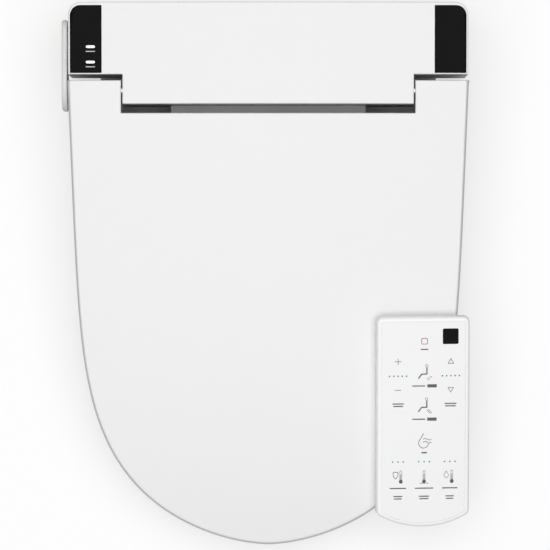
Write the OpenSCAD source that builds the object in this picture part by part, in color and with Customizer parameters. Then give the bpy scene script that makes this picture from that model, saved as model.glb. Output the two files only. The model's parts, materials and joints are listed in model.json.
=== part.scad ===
// Electric bidet seat: mounting plate, main unit, heated seat ring, lid and hand-held remote.
// Origin: midway between the two bowl bolts, on the bowl rim. +Y is the back, +Z is up.

/* [Main unit] */
// Width of the main unit
body_w = 386; // [370:1:430]
// From the bolt line back to the rear face
body_back = 57; // [55:1:70]
// Height of the top cover at the rear face
body_h = 138; // [134:1:150]
// From the bolt line forward to the front of the centre section
core_front = 41; // [40:1:44]
// Width of the centre section between the lid's ears
core_w = 281.2; // [276:0.1:290]
// From the bolt line forward to the front of the side sections
side_front = 12.6; // [11:0.1:13]
// Wall of the moulded shells
wall = 2.5; // [2:0.1:3]
// Radius of the rear corners
corner_r = 12; // [8:1:18]
// Fall of the top cover towards the front, in degrees
top_fall = 3.74; // [3:0.01:5]
// Radius of the crown across the top
crown_r = 2300; // [1800:50:4000]
// Height where the top cover meets the base housing
split_z = 62; // [58:1:66]
// Underside of the base housing
floor_z = 8; // [8:0.1:10]

/* [Nozzle snout] */
// Half the width of the snout under the seat
snout_half = 95; // [90:1:100]
// From the bolt line forward to the face of the snout
snout_front = 105; // [103:1:108]
// Height of the snout
snout_top = 49; // [48:0.5:50]

/* [Hinge] */
// Hinge axis ahead of the bolt line
hinge_front = 28; // [27:0.1:29]
// Height of the hinge axis
hinge_z = 115.5; // [114:0.1:117]
// Radius of the hinge pins
pin_r = 4; // [3.5:0.1:4.2]
// Radial running clearance of the seat and lid on the pins
pin_fit = 0.06; // [0.03:0.01:0.1]
// Radius of the hinge eyes
eye_r = 6.8; // [6.4:0.1:7]

/* [Lid] */
// How far the start of the lid's sides stands out past the main unit
lid_over = 1.14; // [0.5:0.01:2]
// Y of the start of the lid's outline
lid_start = -22; // [-24:1:-20]
// Length of the lid's outline from there to the tip
lid_len = 447.16; // [410:0.01:490]
// Share of the width lost on the way to the tip
side_taper = 0.0902; // [0.05:0.0001:0.15]
// Fullness of the sides
side_power = 6.158; // [4:0.001:8]
// Roundness of the tip
tip_power = 1.703; // [1.4:0.001:2.2]
// Wall of the lid
lid_wall = 2.4; // [2:0.1:2.6]
// Height of the lid's top at the notch
lid_top_z = 130.4; // [129:0.1:131]
// Slope of the lid's top at the notch, rise over run
lid_slope = 0.0875; // [0.08:0.0005:0.1]
// Radius of the lid's arch from back to front
arch_r = 3315; // [3000:5:5000]
// Height of the lid's rim at the notch
rim_z = 70; // [68:0.5:72]
// Fall of the rim per millimetre forward
rim_slope = 0.0585; // [0.05:0.0005:0.07]

/* [Seat] */
// Gap between the lid's rim plane and the seat's top
seat_gap = 4; // [3:0.5:6]
// How far the seat's outline stands inside the lid's
seat_inset = 1.5; // [1:0.1:4]
// Wall of the seat
seat_wall = 2.5; // [2:0.1:3]
// Underside of the seat ring
seat_low = 9; // [8:0.5:11]
// Half the width of the opening
hole_half = 108; // [100:1:115]
// Half the length of the opening
hole_len = 142; // [130:1:150]
// Centre of the opening ahead of the bolt line
hole_front = 258; // [250:1:262]

/* [Mounting plate] */
// Width of the mounting plate
plate_w = 210; // [205:1:214]
// Spacing of the bolt slots, centre to centre
bolt_spacing = 148; // [140:1:155]
// Half the width of a bolt slot
bolt_r = 5; // [4:0.1:6]
// End-to-end length of a bolt slot
slot_len = 18; // [14:1:24]

/* [Nozzles] */
// Tilt of the wands
wand_tilt = 20; // [18:0.5:21]
// Radius of a wand
wand_r = 5; // [4:0.1:5.2]
// Length of a wand with its tip
wand_len = 158; // [150:1:160]
// Half the spacing of the two wands
wand_x = 9.5; // [9:0.1:10.5]
// Radial clearance of the wand in its guide
wand_fit = 0.3; // [0.2:0.05:0.5]
// Travel of a wand
wand_travel = 90; // [70:1:90]

/* [Remote] */
// Width of the remote
remote_w = 90; // [80:1:96]
// Length of the remote
remote_len = 207; // [180:1:212]
// Thickness of the remote
remote_t = 17; // [16:0.5:22]
// X of the middle of the remote on the lid
remote_x = 149; // [120:0.5:150]
// Y of the middle of the remote on the lid
remote_y = -346; // [-360:1:-300]

/* [Hidden] */

white = [0.94, 0.94, 0.94];
dark = [0.03, 0.03, 0.035];
grey = [0.6, 0.61, 0.63];
eps = 0.01;
round_fn = 96;
body_half = body_w / 2;
lid_half = body_half + lid_over;
core_half = core_w / 2;
hinge_y = -hinge_front;
gap = 0.3;
cut = 400;

// ---- shared shapes ----

module at_hinge() translate([0, hinge_y, hinge_z]) children();

// A bar along X from x0 to x1
module x_rod(r, x0, x1) translate([x0, 0, 0]) rotate([0, 90, 0]) cylinder(r = r, h = x1 - x0, $fn = round_fn);

// A plate from an outline in the Y-Z plane, from x0 to x1
module yz_plate(x0, x1) translate([x0, 0, 0]) rotate([90, 0, 90]) linear_extrude(x1 - x0) children();

// A box from its lowest corner to its highest
module block(a, b) translate(a) cube(b - a);

module both_sides() { children(); mirror([1, 0, 0]) children(); }

// Plan of the main unit, drawn in by d
module body_plan(d = 0) {
    square_x = body_half - d;
    back = body_back - d;
    r = corner_r - d;
    front = -side_front + d;
    difference() {
        union() {
            translate([-square_x, front]) square([2 * square_x, back - front - r]);
            translate([-square_x + r, back - r - eps]) square([2 * (square_x - r), r + eps]);
            for (s = [-1, 1]) translate([s * (square_x - r), back - r]) circle(r, $fn = round_fn);
            translate([-core_half + d, -core_front + d]) square([core_w - 2 * d, core_front - side_front]);
        }
    }
}

// Everything under the crowned, sloping top, lowered by d
module under_crown(d = 0)
    translate([0, body_back, body_h - d]) rotate([top_fall, 0, 0])
        translate([0, 60, -crown_r]) rotate([90, 0, 0]) cylinder(r = crown_r, h = 260, $fn = 256);

// Height of the top cover at a point
function cover_z(x, y) = body_h - (body_back - y) * tan(top_fall) - x * x / (2 * crown_r);

// Height of the lid's top at a point
function lid_z(x, y) = lid_top_z + (y + 50) * lid_slope
    - pow(min(y + 50, 0), 2) / (2 * arch_r) - x * x / (2 * crown_r);

// Height of the lid's rim plane
function rim(y) = rim_z + (y + 50) * rim_slope;

// Height of the seat's top plane
function seat_z(y) = rim(y) - seat_gap;

// Half of the lid's outline at angle a of its sweep from the rear (0) to the tip (90).
// It is drawn in by d at the sides and the tip, and by pull times d at the rear.
function side_point(a, d, pull) = let (t = pow(sin(a), 2 / side_power))
    [(lid_half - d) * (1 - side_taper * t) * pow(cos(a), 2 / tip_power),
     lid_start - pull * d - (lid_len - (1 + pull) * d) * t];

sweep_steps = 26;
function sweep(i) = 89.7 * pow(i / sweep_steps, 1.35);
rear_xs = [1, 0.93, 0.83, 0.745, 0.5, 0.25, 0, -0.25, -0.5, -0.745, -0.83, -0.93, -1];

// The whole outline, drawn in by d; rear is the Y of the straight rear edge
function outline(d, rear, pull = 1) = let (w = side_point(0, d, pull)[0])
    concat([for (f = rear_xs) [-f * w, rear]],
        [for (i = [1:sweep_steps]) side_point(sweep(i), d, pull)],
        [for (i = [sweep_steps:-1:1]) let (p = side_point(sweep(i), d, pull)) [-p[0], p[1]]]);

// A closed skin over loops of equal length; ring = true joins the last loop to the first
module skin(loops, ring = false) {
    n = len(loops[0]);
    m = len(loops);
    last = ring ? m - 1 : m - 2;
    quads = [for (j = [0:last], i = [0:n - 1]) let (a = j * n + i, b = j * n + (i + 1) % n,
        k = ((j + 1) % m) * n, c = k + (i + 1) % n, d = k + i) each [[a, b, c], [a, c, d]]];
    caps = ring ? [] : [[for (i = [n - 1:-1:0]) i], [for (i = [0:n - 1]) (m - 1) * n + i]];
    polyhedron(points = [for (l = loops) each l], faces = concat(quads, caps), convexity = 8);
}

// ---- mounting plate ----

plate_low = 1;
plate_high = 6.5;
plate_back = 45;
plate_fwd = 32;
flange = 7;

module bolt_slots(z0, z1, r, l)
    for (s = [-1, 1]) translate([s * bolt_spacing / 2, 0, z0]) {
        translate([-l / 2 + r, -r, 0]) cube([l - 2 * r, 2 * r, z1 - z0]);
        for (e = [-1, 1]) translate([e * (l / 2 - r), 0, 0]) cylinder(r = r, h = z1 - z0, $fn = round_fn);
    }

module mounting_plate() color(grey) difference() {
    union() {
        block([-plate_w / 2 + flange, -plate_fwd, plate_low], [plate_w / 2 - flange, plate_back, plate_high]);
        block([-plate_w / 2, -plate_fwd, plate_high - 2.5], [plate_w / 2, plate_back, plate_high]);
    }
    bolt_slots(-eps, plate_high + eps, bolt_r, slot_len);
    for (x = [-30, 30]) block([x - 18, -20, plate_high - 2], [x + 18, 30, plate_high + eps]);
}

module plate_pad() color(dark) difference() {
    block([-plate_w / 2 + flange, -plate_fwd, 0], [plate_w / 2 - flange, plate_back, plate_low]);
    bolt_slots(-eps, plate_low + eps, bolt_r + 3, slot_len + 6);
}

// ---- main unit: shells ----

floor_in = floor_z + wall;
inlet_y = 22;
inlet_z = 24;
recess_in = 21;
recess_lo = 3;
recess_hi = 42;
duct_x0 = 48;
duct_x1 = 78;
flap_x0 = 52;
flap_x1 = 74;
flap_pivot = [-snout_front + 2.2, 36];
flap_len = 22;
filter_y0 = 6;
filter_y1 = 42;
filter_z0 = 34;
filter_z1 = 58;
tank_x0 = -112;
tank_x1 = -46;
button_y = 30;
button_z = 21;
gland_x = 150;
gland_z = 22;

module snout_box(d) block([-snout_half + d, -snout_front + d, 2 + d], [snout_half - d, -core_front + 8, snout_top - d]);

module hinge_post(x0) difference() {
    block([x0, hinge_y - 8.5, floor_z], [x0 + 6, hinge_y + 8.5, hinge_z + 8.5]);
    at_hinge() x_rod(pin_r + 0.05, x0 - 1, x0 + 7);
}

module base_housing() color(white) {
    difference() {
        union() {
            translate([0, 0, floor_z]) linear_extrude(split_z - floor_z) body_plan();
            snout_box(0);
        }
        translate([0, 0, floor_in]) linear_extrude(cut) body_plan(wall);
        difference() {
            snout_box(wall);
            block([-cut, -core_front + wall, -cut], [cut, cut, floor_in]);
        }
        // inlet recess
        block([-body_half - 1, recess_lo, floor_z - 1], [-body_half + recess_in, recess_hi, split_z - 18]);
        // nozzle port, dryer port, night light port
        block([-port_half, -snout_front - 1, port_low], [port_half, -snout_front + wall + 1, port_top]);
        block([flap_x0 - gap, -snout_front - 1, flap_pivot[1] - flap_len - gap],
            [flap_x1 + gap, -snout_front + wall + 1, flap_pivot[1] + 2.3]);
        translate([0, flap_pivot[0], flap_pivot[1]]) x_rod(1.25, flap_x0 - 3.4, flap_x1 + 3.4);
        translate([-50, -snout_front - 1, 20]) rotate([-90, 0, 0]) cylinder(r = 5, h = wall + 2, $fn = round_fn);
        // filter slot, release button, cord gland
        block([body_half - wall - 1, filter_y0, filter_z0], [body_half + 1, filter_y1, filter_z1]);
        translate([0, button_y, button_z]) x_rod(6.2, body_half - wall - 1, body_half + 1);
        translate([gland_x, body_back - wall - 1, gland_z]) rotate([-90, 0, 0])
            cylinder(r = 7, h = wall + 2, $fn = round_fn);
    }
    // inlet recess walls
    difference() {
        block([-body_half + wall / 2, recess_lo - wall, floor_z],
            [-body_half + recess_in + wall, recess_hi + wall, split_z - 18 + wall]);
        block([-body_half - 1, recess_lo, floor_z - 1], [-body_half + recess_in, recess_hi, split_z - 18]);
        translate([0, inlet_y, inlet_z]) x_rod(8.1, -body_half + recess_in - 1, -body_half + recess_in + wall + 1);
    }
    // hooks that slide under the plate's flanges
    both_sides() {
        block([plate_w / 2 + 0.4, -plate_fwd + 8, 1.2], [plate_w / 2 + 4, plate_back - 6, floor_z + eps]);
        block([plate_w / 2 - 5, -plate_fwd + 8, 1.2], [plate_w / 2 + 1, plate_back - 6, 3.6]);
    }
    // posts for the hinge pins
    hinge_post(128);
    hinge_post(-134);
    // ears for the dryer flap
    for (x = [flap_x0 - 3.4, flap_x1 + 0.6]) difference() {
        block([x, -snout_front + wall - eps, flap_pivot[1] - 3], [x + 2.8, -snout_front + wall + 2.6, flap_pivot[1] + 3]);
        translate([0, flap_pivot[0], flap_pivot[1]]) x_rod(1.25, x - 1, x + 4);
    }
    // bosses for the control board
    for (p = board_holes) translate([p[0], p[1], floor_z + 1]) cylinder(r = 3, h = board_z - floor_z - 1, $fn = 32);
    // cradles under the nozzle guide
    for (y = [-70, 30]) {
        z = wand_z(y) - (wand_r + guide_under) / cos(wand_tilt) - 1.2;
        low = y < -core_front ? 2 : floor_z;
        block([-guide_half, y, low + 1], [guide_half, y + 4, z]);
    }
    // saddle under the tank, ledge under the dryer
    block([tank_x0 + 8, 6, floor_z + 1], [tank_x1 - 8, 10, tank_z0]);
    block([tank_x0 + 8, 40, floor_z + 1], [tank_x1 - 8, 44, tank_z0]);
    block([valve_x0, 12, floor_z + 1], [valve_x1, 16, valve_z0]);
    block([duct_x0 + 4, blower_c[0], floor_z + 1], [duct_x1 - 4, blower_c[0] + 6, blower_c[1] - blower_r]);
    for (x = [deo_x0 + 2, deo_x1 - 8]) block([x, 8, floor_z + 1], [x + 4, 22, deo_z0]);
}

module top_cover() color(white) difference() {
    intersection() {
        translate([0, 0, split_z]) linear_extrude(cut) body_plan();
        under_crown();
    }
    difference() {
        intersection() {
            translate([0, 0, split_z - 1]) linear_extrude(cut) body_plan(wall);
            under_crown(wall);
        }
        for (s = [-1, 1]) screw_boss(s);
    }
    both_sides() at_hinge() x_rod(pin_r + 0.6, core_half - wall - 1, core_half + 1);
    // beds for the two gloss panels
    for (s = [-1, 1]) panel_bed(s, 0, panel_t);
    for (s = [-1, 1]) translate([s * screw_x, screw_y, split_z - 1]) cylinder(r = 1.7, h = 22, $fn = 48);
}

screw_x = 170;
screw_y = 44;
module screw_boss(s) translate([s * screw_x, screw_y, split_z - 1]) cylinder(r = 4.5, h = 80, $fn = 48);

// ---- gloss panels on the top ----

panel_t = 1.2;
panel_in = 1.7;
panel_w = 30.8;
panel_y0 = -11.4;
panel_y1 = 54;
panel_r = 10;

module panel_plan(s, d) mirror([s > 0 ? 0 : 1, 0]) {
    x1 = body_half - panel_in - d;
    x0 = x1 - panel_w + 2 * d;
    y0 = panel_y0 + d;
    y1 = panel_y1 - d;
    r = panel_r - d;
    translate([x0, y0]) square([x1 - x0, y1 - y0 - r]);
    translate([x0, y1 - r - eps]) square([x1 - x0 - r, r + eps]);
    translate([x1 - r, y1 - r]) circle(r, $fn = round_fn);
}

// The stretch of the top under a gloss panel, from depth a down to depth b
module panel_bed(s, a, b, d = 0) intersection() {
    difference() {
        under_crown(a - (a == 0 ? 1 : 0));
        under_crown(b);
    }
    translate([0, 0, split_z]) linear_extrude(cut) panel_plan(s, d);
}

module gloss_panel(s) intersection() {
    difference() {
        under_crown(0);
        under_crown(panel_t);
    }
    translate([0, 0, split_z]) linear_extrude(cut) panel_plan(s, 0.1);
}

led_x = -171.4;
led_ys = [13.9, -0.9];
led_w = 8.8;
led_h = 2.5;

module led_plan(d) for (y = led_ys) translate([led_x, y]) square([led_w + 2 * d, led_h + 2 * d], center = true);

module left_panel() color(dark) difference() {
    gloss_panel(-1);
    translate([0, 0, split_z]) linear_extrude(cut) led_plan(0.05);
}

module right_panel() color(dark) gloss_panel(1);

module indicator_lenses() color("white") intersection() {
    difference() {
        under_crown(0);
        under_crown(panel_t);
    }
    translate([0, 0, split_z]) linear_extrude(cut) led_plan(0);
}

// ---- side control panel ----

wing_x = -body_half - 7;
wing_t = 5.4;
wing_y0 = -47;
wing_y1 = 41;
wing_z0 = 52;
wing_z1 = 104;
key_r = 7.5;
key_ys = [20, -2, -24];
key_z = 78;
key_travel = 0.8;

module side_panel() color(white) difference() {
    union() {
        yz_plate(wing_x, wing_x + wing_t) wing_face(0);
        block([wing_x + wing_t - eps, -6, wing_z0 + 16], [-body_half, 30, wing_z1 - 12]);
    }
    for (y = key_ys) translate([0, y, key_z]) x_rod(key_r + 0.25, wing_x - 1, wing_x + 3.2);
}

module wing_face(d) {
    r = 9 - d;
    translate([wing_y0 + d, wing_z0 + r + d]) square([wing_y1 - wing_y0 - 2 * d, wing_z1 - wing_z0 - 2 * (r + d)]);
    translate([wing_y0 + r + d, wing_z0 + d]) square([wing_y1 - wing_y0 - 2 * (r + d), wing_z1 - wing_z0 - 2 * d]);
    for (y = [wing_y0 + r + d, wing_y1 - r - d], z = [wing_z0 + r + d, wing_z1 - r - d])
        translate([y, z]) circle(r, $fn = round_fn);
}

module side_switches() color(dark) for (y = key_ys) translate([0, y, key_z])
    x_rod(3, wing_x + 2.5, wing_x + 3.2);

module side_key(i) color(grey) translate([0, key_ys[i], key_z])
    x_rod(key_r, wing_x + 0.1, wing_x + 2.5 - key_travel - 0.1);

// ---- hinge hardware ----

pin_out = 171;
module hinge_pins() color("silver") both_sides() at_hinge() x_rod(pin_r, 118, pin_out);

module damper(l) at_hinge() difference() {
    x_rod(9, 127.5 - l, 127.5);
    x_rod(pin_r + 0.02, 118, 128);
}

module seat_damper() color(dark) mirror([1, 0, 0]) damper(50);
module lid_damper() color(dark) damper(46);

// ---- water path ----

stub_out = body_half + 5;
module water_inlet() color("tan") translate([0, inlet_y, inlet_z]) difference() {
    union() {
        x_rod(10.48, -stub_out, -stub_out + 17);
        x_rod(13, -stub_out + 17, -body_half + recess_in);
        x_rod(8, -body_half + recess_in - 1, valve_x0);
    }
    x_rod(6.5, -stub_out - 1, -body_half + recess_in + 6);
    x_rod(4, -body_half + recess_in, valve_x0 + 1);
}

module inlet_strainer() color(grey) translate([0, inlet_y, inlet_z]) difference() {
    x_rod(6.5, -stub_out + 4, -stub_out + 16);
    x_rod(5.3, -stub_out + 3, -stub_out + 14.6);
}

valve_x0 = -152;
valve_x1 = -122;
valve_z0 = 13;
module inlet_valve() color("tan") {
    difference() {
        block([valve_x0, 9, valve_z0], [valve_x1, 35, 35]);
        translate([0, inlet_y, inlet_z]) x_rod(4, valve_x0 - 1, valve_x1 + 1);
    }
    translate([(valve_x0 + valve_x1) / 2, inlet_y, 35 - eps]) cylinder(r = 9, h = 20, $fn = round_fn);
}

tank_z0 = 15;
tank_z1 = 78;
module water_heater() color([0.85, 0.85, 0.87]) difference() {
    block([tank_x0, 2, tank_z0], [tank_x1, 50, tank_z1]);
    block([tank_x0 + wall, 2 + wall, tank_z0 + wall], [tank_x1 - wall, 50 - wall, tank_z1 - wall]);
    translate([0, inlet_y, inlet_z]) x_rod(3, tank_x0 - 1, tank_x0 + wall + 1);
    translate([0, 26, 70]) x_rod(3, tank_x1 - wall - 1, tank_x1 + 1);
}

module heater_element() color("silver") {
    for (y = [16, 36]) translate([(tank_x0 + tank_x1) / 2, y, tank_z0 + 8])
        cylinder(r = 4, h = tank_z1 - wall - tank_z0 - 8, $fn = 48);
    translate([(tank_x0 + tank_x1) / 2, 16, tank_z0 + 12]) rotate([-90, 0, 0]) cylinder(r = 4, h = 20, $fn = 48);
}

module diverter_valve() color(white) difference() {
    block([-42, 8, 60], [-guide_half - 1, 44, 82]);
    translate([0, 26, 70]) x_rod(3, -43, -32);
}

// Straight pipes: valve to tank, and tank to diverter
module water_pipes() color(grey) {
    translate([0, inlet_y, inlet_z]) difference() {
        x_rod(3, valve_x1 - 4, tank_x0 + wall);
        x_rod(2, valve_x1 - 5, tank_x0 + wall + 1);
    }
    translate([0, 26, 70]) difference() {
        x_rod(3, tank_x1 - wall, -34);
        x_rod(2, tank_x1 - wall - 1, -33);
    }
}

// ---- nozzles ----

guide_half = 20;
port_half = 17.5;
port_low = 4.5;
port_top = 24;
guide_under = 4;
tip_z = 16;
tip_y = -snout_front + 5;
tip_len = 14;
rack_y0 = 61;
tooth_m = 1;
teeth = 14;
pinion_r = tooth_m * teeth / 2;
rack_pitch = wand_r + 3;
pinion_y = 66;
pinion_z = -rack_pitch - pinion_r;
add = 0.8 * tooth_m;
ded = 1.1 * tooth_m;
backlash = 0.12;

// Height of the wands' axis at a Y
function wand_z(y) = tip_z + (y - tip_y) * tan(wand_tilt);

module along_wand(x) translate([x, tip_y, tip_z]) rotate([wand_tilt, 0, 0]) children();

module y_rod(r, y0, y1) translate([0, y0, 0]) rotate([-90, 0, 0]) cylinder(r = r, h = y1 - y0, $fn = round_fn);

// Rack under the wand: teeth point down and mesh at pinion_y
module rack() yz_plate(-2, 2) {
    p = PI * tooth_m;
    n = floor((wand_len - 1 - pinion_y) / p - 0.5);
    half = PI * tooth_m / 4 - backlash / 2;
    low = -rack_pitch - add;
    high = -rack_pitch + ded;
    translate([rack_y0, high - eps]) square([wand_len - rack_y0, wand_r - 2 + eps]);
    for (i = [-1:n]) let (c = pinion_y + (i + 0.5) * p)
        polygon([[c - half - ded * tan(20), high], [c - half + add * tan(20), low],
            [c + half - add * tan(20), low], [c + half + ded * tan(20), high]]);
}

module wand(x) color("white") along_wand(x) {
    difference() {
        union() {
            y_rod(wand_r, tip_len, wand_len);
            rack();
        }
        y_rod(2, tip_len - 1, wand_len + 1);
    }
}

module wand_tip(x) color(grey) along_wand(x) difference() {
    y_rod(wand_r - 0.1, 0, tip_len);
    y_rod(2, 2.5, tip_len + 1);
    for (dx = [-1.6, 1.6]) translate([dx, 5, 0]) cylinder(r = 0.5, h = wand_r + 1, $fn = 24);
    translate([0, 8, 0]) cylinder(r = 0.6, h = wand_r + 1, $fn = 24);
}

// A point of an involute at roll angle a from a base circle
function involute(rb, a) = [rb * (cos(a) + a * PI / 180 * sin(a)), rb * (sin(a) - a * PI / 180 * cos(a))];
function turn(p, a) = [p[0] * cos(a) - p[1] * sin(a), p[0] * sin(a) + p[1] * cos(a)];

module pinion_plan() {
    rb = pinion_r * cos(20);
    ra = pinion_r + add;
    rf = pinion_r - ded;
    top_roll = sqrt(pow(ra / rb, 2) - 1) * 180 / PI;
    lead = (tan(20) - 20 * PI / 180) * 180 / PI;
    half = 90 / teeth - backlash / 2 / pinion_r * 180 / PI;
    flank = [for (k = [0:5]) turn(involute(rb, top_roll * k / 5), -half - lead)];
    circle(rf + 0.05, $fn = 48);
    for (i = [0:teeth - 1]) rotate(90 + i * 360 / teeth)
        polygon(concat([[rf - 0.5, flank[0][1]]], flank,
            [for (k = [5:-1:0]) [flank[k][0], -flank[k][1]]], [[rf - 0.5, -flank[0][1]]]));
}

module drive_pinion(x, s) color("white") along_wand(x) translate([0, pinion_y, pinion_z]) {
    yz_plate(-2.5, 2.5) pinion_plan();
    x_rod(2, s > 0 ? 2 : -17, s > 0 ? 17 : -2);
}

module nozzle_guide() color(grey) along_wand(0) difference() {
    block([-guide_half, 8, -wand_r - guide_under], [guide_half, wand_len + 1, wand_r + 1.5]);
    for (s = [-1, 1]) translate([s * wand_x, 0, 0]) {
        y_rod(wand_r + wand_fit, 7, wand_len + 2);
        block([-2.5, 7, -wand_r - guide_under - 1], [2.5, wand_len + 2, 0]);
    }
    // room for the pinions
    block([-wand_x - 3.5, pinion_y - 9, -wand_r - guide_under - 1], [wand_x + 3.5, pinion_y + 9, -wand_r - 0.6]);
}

module nozzle_guard() color(white) difference() {
    block([-port_half, -snout_front + 0.1, port_low], [port_half, -snout_front + 2.1, port_top]);
    for (s = [-1, 1]) along_wand(s * wand_x) {
        y_rod(wand_r + 0.7, -14, 12);
        block([-2.8, -16, -wand_r - 9], [2.8, 14, 0]);
    }
}

motor_in = 21.5;
motor_out = 39;
module nozzle_motors() color("silver") along_wand(0) both_sides() translate([0, pinion_y, pinion_z]) {
    difference() {
        x_rod(11.5, motor_in, motor_out);
        x_rod(2.05, motor_in - 1, motor_in + 8);
    }
    // fixing tab up to the guide
    block([motor_in, -6, 9], [motor_in + 1.5, 6, pinion_off() - 0.5]);
    block([guide_half, -6, 9 + 2], [motor_in + eps, 6, pinion_off() - 0.5]);
}
function pinion_off() = -pinion_z + wand_r;

// ---- dryer ----

blower_c = [20, 60];
blower_r = 30;
fan_r = 24;
duct_wall = 2;
duct_front = -snout_front + 5.6;

module duct_side(d) {
    translate(blower_c) circle(blower_r - d, $fn = round_fn);
    polygon([[blower_c[0], blower_c[1] - blower_r + 1 + d], [-core_front + 2, 14 + d],
        [duct_front, 11 + d], [duct_front, 38 - d], [-core_front + 2, 43 - d],
        [-6, 56 - d], [blower_c[0], blower_c[1]]]);
}

module dryer_duct() color(grey) difference() {
    yz_plate(duct_x0, duct_x1) duct_side(0);
    yz_plate(duct_x0 + duct_wall, duct_x1 - duct_wall) duct_side(duct_wall);
    block([duct_x0 + duct_wall, duct_front - 1, 11 + duct_wall], [duct_x1 - duct_wall, duct_front + 4, 38 - duct_wall]);
    translate([0, blower_c[0], blower_c[1]]) {
        x_rod(15, duct_x1 - duct_wall - 1, duct_x1 + 1);
        x_rod(2.6, duct_x0 - 1, duct_x0 + duct_wall + 1);
    }
}

module dryer_motor() color("silver") translate([0, blower_c[0], blower_c[1]]) {
    x_rod(13, duct_x0 - 23, duct_x0);
    x_rod(2, duct_x0 - 1, duct_x0 + 18);
}

module fan(x0, w, r, hub, bore, blades) {
    difference() {
        union() {
            x_rod(r, x0, x0 + 1.5);
            x_rod(hub, x0, x0 + w * 0.6);
            for (i = [0:blades - 1]) rotate([i * 360 / blades, 0, 0])
                block([x0 + 1, -0.6, r * 0.62], [x0 + w, 0.6, r - 0.2]);
        }
        x_rod(bore, x0 - 1, x0 + w + 1);
    }
}

module dryer_impeller() color(white) translate([0, blower_c[0], blower_c[1]])
    fan(duct_x0 + duct_wall + 2, 20, fan_r, 6, 2.05, 20);

module dryer_heater() color("tan") {
    for (y = [-30, -18]) block([duct_x0 + duct_wall, y, 24], [duct_x1 - duct_wall, y + 1, 40]);
    for (z = [26, 30, 34, 38]) translate([62, 0, z]) y_rod(0.9, -30, -17);
}

module dryer_flap() color(white) translate([0, flap_pivot[0], flap_pivot[1]]) {
    block([flap_x0, -2, -flap_len], [flap_x1, 0, 0]);
    x_rod(2, flap_x0, flap_x1);
    x_rod(1.2, flap_x0 - 2.6, flap_x1 + 2.6);
}

// ---- deodorizer ----

deo_x0 = 104;
deo_x1 = 148;
deo_z0 = 28;
deo_z1 = 66;
fan2 = [24, 46];

module deodorizer_case() color(grey) {
    difference() {
        block([deo_x0, 3, deo_z0], [deo_x1, 45, deo_z1]);
        block([deo_x0 + 2, 5, deo_z0 + 2], [deo_x1 + 1, 43, deo_z1 - 2]);
        translate([0, fan2[0], fan2[1]]) x_rod(8, deo_x0 - 1, deo_x0 + 3);
    }
    // motor spider
    difference() {
        block([deo_x0 + 26, 5 - eps, fan2[1] - 4], [deo_x0 + 28, 43 + eps, fan2[1] + 4]);
        translate([0, fan2[0], fan2[1]]) x_rod(2.6, deo_x0 + 20, deo_x0 + 30);
    }
    // tunnel for the filter
    difference() {
        block([deo_x1 - 2, filter_y0 - 3, filter_z0 - 3], [body_half - wall, filter_y1 + 3, filter_z1 + 3]);
        block([deo_x1 - 3, filter_y0 - 1, filter_z0 - 1], [body_half, filter_y1 + 1, filter_z1 + 1]);
    }
    // posts for the power board
    for (x = [deo_x0 + 4, deo_x1 - 4], y = [8, 40]) translate([x, y, deo_z1 - eps]) cylinder(r = 3, h = 6, $fn = 32);
}

module deodorizer_motor() color("silver") translate([0, fan2[0], fan2[1]]) {
    x_rod(8, deo_x0 + 28, deo_x0 + 38);
    x_rod(1.5, deo_x0 + 12, deo_x0 + 29);
}

module deodorizer_impeller() color(white) translate([0, fan2[0], fan2[1]]) fan(deo_x0 + 8, 12, 15, 4, 1.55, 12);

hold_x0 = 154;
module filter_holder() color(white) {
    difference() {
        block([hold_x0, filter_y0 + gap, filter_z0 + gap], [body_half, filter_y1 - gap, filter_z1 - gap]);
        block([hold_x0 + 2, filter_y0 + 2, filter_z0 + 2], [body_half - 6, filter_y1 - 2, filter_z1 + 1]);
        block([hold_x0 - 1, filter_y0 + 6, filter_z0 + 6], [hold_x0 + 3, filter_y1 - 6, filter_z1 + 1]);
        // finger grip in the front face
        block([body_half - 2, filter_y0 + 9, filter_z0 + 8], [body_half + 1, filter_y1 - 9, filter_z0 + 15]);
    }
}

module carbon_filter() color(dark)
    block([hold_x0 + 2, filter_y0 + 2, filter_z0 + 2], [body_half - 6, filter_y1 - 2, filter_z1 - 1]);

// ---- boards, gland, light, screws, release button ----

board_z = 64;
board_holes = [[-186, -5], [-186, 49], [-124, -5], [-124, 49]];
module screw_room(s) translate([s * screw_x, screw_y, 0]) cylinder(r = 5.5, h = 200, $fn = 48);

module control_board() color("darkgreen") {
    difference() {
        block([-188, -8, board_z], [-121, 51, board_z + 1.6]);
        for (p = board_holes) translate([p[0], p[1], board_z - 1]) cylinder(r = 1.2, h = 4, $fn = 32);
        screw_room(-1);
    }
    for (p = [[-176, 4, 14, 14, 2], [-150, 10, 20, 12, 3], [-178, 30, 12, 8, 9], [-140, 34, 10, 8, 11]])
        translate([p[0], p[1], board_z + 1.6 - eps]) cube([p[2], p[3], p[4]]);
    for (x = [-158, -146]) translate([x, 38, board_z + 1.6 - eps]) cylinder(r = 4, h = 12, $fn = 32);
}

module power_board() color("darkgreen") {
    difference() {
        block([deo_x0, 3, deo_z1 + 6], [182, 45, deo_z1 + 7.6]);
        screw_room(1);
    }
    block([112, 10, deo_z1 + 7.6 - eps], [140, 36, deo_z1 + 30]);
    for (x = [150, 162]) translate([x, 30, deo_z1 + 7.6 - eps]) cylinder(r = 5, h = 18, $fn = 32);
    block([148, 8, deo_z1 + 7.6 - eps], [172, 16, deo_z1 + 16]);
}

module cord_gland() color(dark) translate([gland_x, 0, gland_z]) difference() {
    union() {
        y_rod(6.9, body_back - wall - 6, body_back);
        y_rod(9, body_back - wall - 3, body_back - wall);
    }
    y_rod(3.6, body_back - 20, body_back + 1);
}

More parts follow.
